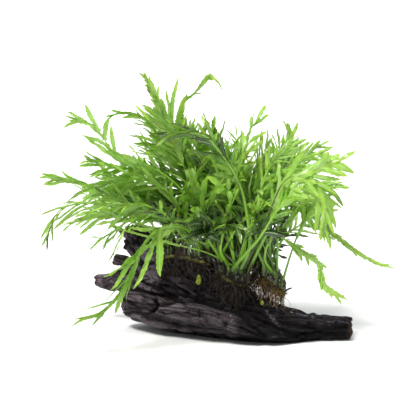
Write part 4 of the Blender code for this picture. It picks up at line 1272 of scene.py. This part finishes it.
def add_lobe(growth, chance, start, heading, up, bend, length, look, width, tone):
    """Adds one strap-shaped lobe with a toothed and slightly ruffled edge."""
    t = along_teeth(length)
    middles = start + (heading * t[:, None] + bend * (t ** 2)[:, None]) * length
    tangents = unit(heading + bend * (2 * t)[:, None])
    sides = unit(np.cross(tangents, up))
    ups = np.cross(sides, tangents)
    sway = length * 0.016 * np.sin(t * chance.uniform(5, 9) + chance.uniform(0, 6)) * t
    flutter = length * 0.020 * np.sin(t * chance.uniform(5, 11) + chance.uniform(0, 6)) * t
    middles = middles + sides * sway[:, None] + ups * flutter[:, None]
    twist = (chance.uniform(-0.9, 0.9) * t)[:, None]
    sides, ups = sides * np.cos(twist) + ups * np.sin(twist), ups * np.cos(twist) - sides * np.sin(twist)
    belly = chance.uniform(0.35, 0.6)
    outline = np.interp(t, (0, 0.07, 0.16, belly, 0.8, 0.93, 1), (1.15, 0.74, 0.72, 1.0, 0.78, 0.42, 0.03))
    left = np.maximum(width * outline * tooth_widths(chance, len(t), look["teeth"], 0), 0.06)
    right = np.maximum(width * outline * tooth_widths(chance, len(t), look["teeth"], 1), 0.06)
    fold = chance.uniform(0.02, 0.55)
    ruffle = chance.uniform(0.10, 0.36)
    waves = length / 10 * chance.uniform(4, 7)
    lift_left = left * (fold + ruffle * np.sin(waves * t + chance.uniform(0, 6)))
    lift_right = right * (fold + ruffle * np.sin(waves * t + chance.uniform(0, 6)))
    add_blade(growth, middles, sides, ups, left, right, (lift_left, lift_right), LEAF_THICKNESS, t, tone)


def in_bare_zone(place):
    """Whether a point is where no lobe shows."""
    return any(left < place.x < right and place.y < back and place.z < height
               for left, right, back, height in BARE_ZONES)


def local_tint(place):
    """How much paler lobes are at a place: painted darker low in the middle, as shade and as older leaves,
    and paler at the left.
    """
    middle = ease(SHADE_REACH, SHADE_REACH - SHADE_EDGE, abs(place[0] - SHADE_X))
    shade = middle * ease(SHADE_TOP, SHADE_FULL, place[2])
    return LEFT_PALENESS * ease(-45, -75, place[0]) - SHADE_DEPTH * shade


def clear_of_wood(surface, start, heading, bend, length, low):
    """The longest lobe, in a few tries, that stays out of the wood and, unless low, of bare zones."""
    for scale in (1.0, 0.8, 0.6, 0.45):
        reach = length * scale
        free = True
        for t in (0.4, 0.7, 1.0):
            place = Vector(start + (heading * t + bend * t * t) * reach)
            near, normal, _, _ = surface.find_nearest(place)
            in_wood = (place - near).dot(normal) < 0.8
            if place.z < 3 or in_wood or (in_bare_zone(place) and not low):
                free = False
        if free:
            return reach
    return 0.0


def grow_stipe(growth, spine, bare, look, age):
    """Adds the round stipe and the rachis that goes on from it."""
    share = np.linspace(0, 1, SPINE_STEPS + 1)
    foot = look["stipe"]
    radii = np.interp(share, (0, 0.05, bare, 1), (foot * 1.1, foot, foot * 0.6, RACHIS_END))
    marks = np.stack((share, 0 * share, 0 * share + 1), 1)
    stain = look["dark"] * np.interp(share, (0, bare * 1.3, 1), (1, 0.9, 0.2))
    tones = np.stack((0 * share + look["pale"], 0 * share + age, stain), 1)
    every = slice(None, None, 2)
    add_tube(growth, spine.points[every], radii[every], 6, leaf=marks[every], tone=tones[every])


def grow_wing(growth, chance, spine, bare, look, tone):
    """Adds the narrow toothed wing on both sides of the rachis, which ends as the frond's tip."""
    low = max(bare - 0.03, 0)
    t = along_teeth(spine.length * (1 - low))
    rows = [np.stack([np.interp(low + (1 - low) * t, np.linspace(0, 1, SPINE_STEPS + 1), line[:, axis])
                      for axis in range(3)], 1) for line in (spine.points, spine.sides, spine.ups)]
    widest = min(1.0, 0.5 + 0.35 * look["wing"] / look["width"])
    shape = np.interp(t, (0, 0.06, 0.5, 0.82, 0.93, 1), (0.1, 0.7, 1.0, widest, 0.45, 0.03))
    wing = look["wing"] * shape + 0.6 * np.sin(t * 9) * shape ** 2 * 0.2
    left = np.maximum(wing * tooth_widths(chance, len(t), look["teeth"] * 1.3, 0), 0.05)
    right = np.maximum(wing * tooth_widths(chance, len(t), look["teeth"] * 1.3, 1), 0.05)
    waves = spine.length / 12
    lifts = (left * (0.25 + 0.25 * np.sin(waves * t)), right * (0.25 + 0.25 * np.sin(waves * t + 2)))
    add_blade(growth, rows[0], unit(rows[1]), unit(rows[2]), left, right, lifts, LEAF_THICKNESS, t, tone)


def set_hanging_lobes(growth, chance, spine, look, age):
    """Adds the lobes of the frond that hangs in front, which are placed one by one."""
    for place, tip, bow, width in HANGING_LOBES:
        start, _, _, up = spine.at(place)
        way = np.array(tip, float) - start
        length = np.linalg.norm(way)
        bend = unit(np.cross(way, up)) * bow - UP_ROW * 0.05
        tint = min(look["pale"] + chance.uniform(-0.15, 0.3), 1)
        add_lobe(growth, chance, start, way / length - bend, up, bend, length, look, width, (tint, age, 0))


def grow_frond(growth, name, spine, lobe_length, bare, look, surface):
    """Adds a whole frond: stipe, rachis, its narrow wing and the lobes on both sides."""
    chance = random.Random("frond " + name)
    age = 1.0 if chance.random() < 0.35 else 0.3
    grow_stipe(growth, spine, bare, look, age)
    grow_wing(growth, chance, spine, bare, look, (look["pale"], age, 0))
    if name == "front_hanging_frond":
        set_hanging_lobes(growth, chance, spine, look, age)
        return
    covered = spine.length * (0.96 - bare)
    pairs = max(4, round(covered / look["spacing"]))
    places, sizes = zip(*look["lengths"])
    for number in range(pairs):
        for sign in (1, -1):
            place = (number + 0.1 + (0.4 if sign > 0 else 0.0) + chance.uniform(-0.2, 0.2)) / pairs
            place = min(max(place, 0.0), 1.0)
            start, along, side, up = spine.at(bare + (0.96 - bare) * place)
            length = lobe_length * 1.08 * float(np.interp(place, places, sizes)) * chance.uniform(0.7, 1.2)
            first, last = look["angles"]
            angle = math.radians(first + (last - first) * place + chance.gauss(0, 5))
            heading = along * math.cos(angle) + side * (sign * math.sin(angle))
            heading = unit(heading + up * chance.gauss(0.04, 0.13))
            bend = side * (sign * chance.uniform(-0.10, 0.24)) + up * chance.gauss(0, 0.13)
            bend = bend - UP_ROW * (look["droop"] * chance.uniform(0.5, 1.6))
            length = clear_of_wood(surface, start, heading, bend, length, look["low"])
            if length < 4:
                continue
            width = look["width"] * chance.uniform(0.7, 1.2) * (1 - 0.25 * place)
            width = width * min(1.0, 0.45 + length / 28)
            tint = min(look["pale"] + local_tint(start) + chance.gauss(0, TINT_SPREAD), 1.1)
            add_lobe(growth, chance, start, heading, up, bend, length, look, width, (tint, age, 0))


def root_on(lines, rhizome, place):
    """Where a stipe springs from its rhizome."""
    line, radius = lines[rhizome]
    i = int(place * (RHIZOME_PLACES - 2))
    along = Vector(line[i + 1] - line[i]).normalized()
    rise = (UP - along * along.z).normalized()
    return Vector(line[i]) + rise * (radius + ROOT_LIFT)


def make_fronds(lines, surface, material):
    for name, (rhizome, place, points, roll, lobe_length, bare) in FRONDS.items():
        spine = Spine(root_on(lines, rhizome, place), points, roll)
        growth = Growth("leaf", "tone")
        look = {**PLAIN_LOOK, **LOOKS.get(name, {})}
        grow_frond(growth, name, spine, lobe_length, bare, look, surface)
        settle(growth.finish("leafy_" + name, material), "fronds", name)


def inner_frond(chance, number, root, look):
    """Tip, longest lobe and bare share of one of the fronds that are spread through the bush.

    Each kind of inner frond has such a function, called with the same four things.
    """
    turn = number * GOLDEN_TURN
    out = math.sqrt((number + 0.5) / INNER_FRONDS)
    tip = Vector((-6 + 92 * out * math.cos(turn), 16 + 60 * out * math.sin(turn), 0))
    tip.z = 158 - 52 * out ** 2.2 + chance.uniform(-22, 8)
    look["pale"] = max(0.0, 0.36 + 0.34 * out + chance.uniform(-0.15, 0.15))
    look["width"] = chance.uniform(1.8, 3.2)
    return tip, chance.uniform(18, 30), chance.uniform(0.42, 0.54)


def left_frond(chance, number, root, look):
    """The same for a frond that fills the left of the bush."""
    tip = Vector((chance.uniform(-112, -68), chance.uniform(-22, 30), chance.uniform(100, 146)))
    look["pale"] = chance.uniform(0.35, 0.8)
    look["width"] = chance.uniform(1.6, 2.4)
    return tip, chance.uniform(22, 32), chance.uniform(0.34, 0.44)


def top_frond(chance, number, root, look):
    """The same for a pale, finely cut frond at the top."""
    tip = Vector((-74 + 136 * (number + chance.random()) / TOP_FRONDS, chance.uniform(-18, 36), 0))
    tip.z = chance.uniform(150, 172) - 0.10 * abs(tip.x + 20)
    look["pale"] = chance.uniform(0.75, 1.1)
    look["width"] = chance.uniform(1.4, 1.9)
    look["angles"] = (28, 14)
    look["spacing"] = 6.0
    return tip, chance.uniform(20, 30), chance.uniform(0.5, 0.6)


def low_frond(chance, number, root, look):
    """The same for one of the fronds behind the stipes, painted dark green as the shade there."""
    turn = number * GOLDEN_TURN
    out = math.sqrt((number + 0.5) / LOW_FRONDS)
    x = min(root.x, 26) + 34 * out * math.cos(turn)
    y = max(root.y, 14) + 22 + 20 * out * math.sin(turn)
    tip = Vector((x, y, root.z + chance.uniform(24, 56)))
    # Painted shade: lobes and stipes of these fronds are made nearly black-green to stand for the shade
    # behind the stipes
    look["pale"] = chance.uniform(-0.42, -0.30)
    look["dark"] = 0.9
    look["low"] = True
    look["width"] = chance.uniform(2.0, 3.4)
    return tip, chance.uniform(14, 24), chance.uniform(0.14, 0.26)


def make_inner_fronds(lines, surface, material):
    """Fills the bush with young and inner fronds, and its foot with fronds painted dark as shade, in a few
    big pieces.
    """
    names = list(RHIZOMES)
    growths = [Growth("leaf", "tone") for _ in range(INNER_PIECES)]
    groups = ((inner_frond, INNER_FRONDS, names), (left_frond, LEFT_FRONDS, ["left", "back_left"]),
              (top_frond, TOP_FRONDS, names), (low_frond, LOW_FRONDS, names))
    grown = 0
    for choose, count, rhizomes in groups:
        for number in range(count):
            title = "%s %d" % (choose.__name__, number)
            chance = random.Random(title)
            root = root_on(lines, rhizomes[number % len(rhizomes)], chance.uniform(0.02, 0.98))
            look = dict(PLAIN_LOOK)
            look["stipe"] = chance.uniform(0.7, 1.2)
            look["dark"] = chance.choice((0.0, 0.1, 0.3, 0.8))
            look["teeth"] = chance.uniform(0.2, 0.36)
            tip, lobe_length, bare = choose(chance, number, root, look)
            look["wing"] = look["width"] * 0.65
            middle = root.lerp(tip, 0.48)
            middle.z = root.z + (tip.z - root.z) * 0.66
            points = [root.lerp(middle, 0.5) + UP * 8, middle, tip]
            spine = Spine(root, points, chance.uniform(15, 85))
            growth = growths[grown % INNER_PIECES]
            grow_frond(growth, title, spine, lobe_length, bare, look, surface)
            grown += 1
    for number, growth in enumerate(growths):
        settle(growth.finish("inner_fronds_%d" % (number + 1), material), "fronds")


def sun(name, heading, width, power, colour=(1.0, 1.0, 1.0)):
    """Soft light from far off.  heading is where it comes from, and width is its breadth in degrees."""
    data = bpy.data.lights.new(name, "SUN")
    data.energy = power
    data.angle = math.radians(width)
    data.color = colour
    lamp = bpy.data.objects.new(name, data)
    lamp.rotation_euler = Vector(heading).to_track_quat("Z", "Y").to_euler()
    bpy.context.scene.collection.objects.link(lamp)


def make_studio():
    """A pale floor, soft light from above and in front, and the camera."""
    finish = Finish("pale_floor")
    grain = finish.noise(finish.places(), 3.0)
    finish.set(Base_Color=(0.80, 0.80, 0.80), Roughness=0.7 + grain * 0.05)
    mesh = bpy.data.meshes.new("floor")
    reach = 12.0
    mesh.from_pydata([(-reach, -reach, 0), (reach, -reach, 0), (reach, reach, 0), (-reach, reach, 0)], [],
                     [(0, 1, 2, 3)])
    mesh.materials.append(finish.material)
    floor = bpy.data.objects.new("floor", mesh)
    bpy.context.scene.collection.objects.link(floor)
    world = bpy.data.worlds.new("studio")
    world.use_nodes = True
    sky = world.node_tree.nodes["Background"]
    sky.inputs["Color"].default_value = (0.95, 0.98, 1.0, 1.0)
    sky.inputs["Strength"].default_value = 0.40
    bpy.context.scene.world = world
    sun("key", (-0.35, -0.46, 1.0), 22, 4.8, (1.0, 0.99, 0.96))
    sun("back", (0.35, 0.75, 0.9), 34, 1.5)
    camera = bpy.data.cameras.new("view")
    camera.sensor_width = SENSOR
    camera.lens = SENSOR * CAMERA_DISTANCE / FRAME_WIDTH
    viewer = bpy.data.objects.new("view", camera)
    bpy.context.scene.collection.objects.link(viewer)
    target = Vector((VIEW_CENTRE_X, VIEW_CENTRE_UP * math.sin(CAMERA_RISE),
                     VIEW_CENTRE_UP * math.cos(CAMERA_RISE)))
    back = Vector((0, -math.cos(CAMERA_RISE), math.sin(CAMERA_RISE)))
    viewer.location = target + back * CAMERA_DISTANCE
    viewer.rotation_euler = (math.pi / 2 - CAMERA_RISE, 0, 0)
    bpy.context.scene.camera = viewer
    bpy.context.scene.view_settings.view_transform = "Standard"


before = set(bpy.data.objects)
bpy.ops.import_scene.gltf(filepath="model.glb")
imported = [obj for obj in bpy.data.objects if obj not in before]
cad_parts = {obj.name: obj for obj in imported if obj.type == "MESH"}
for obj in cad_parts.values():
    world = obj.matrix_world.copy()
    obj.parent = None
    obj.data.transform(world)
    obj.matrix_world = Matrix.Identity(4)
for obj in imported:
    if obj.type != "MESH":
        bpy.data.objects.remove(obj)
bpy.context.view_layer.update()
make_studio()
trunk_limb, wood_surface = make_driftwood()
rhizome_lines = make_rhizomes(trunk_limb)
make_roots(rhizome_lines, wood_surface)
make_old_stipes(rhizome_lines)
make_buds(trunk_limb)
leaf = leaf_finish("fern_leaf")
make_fronds(rhizome_lines, wood_surface, leaf)
make_inner_fronds(rhizome_lines, wood_surface, leaf)
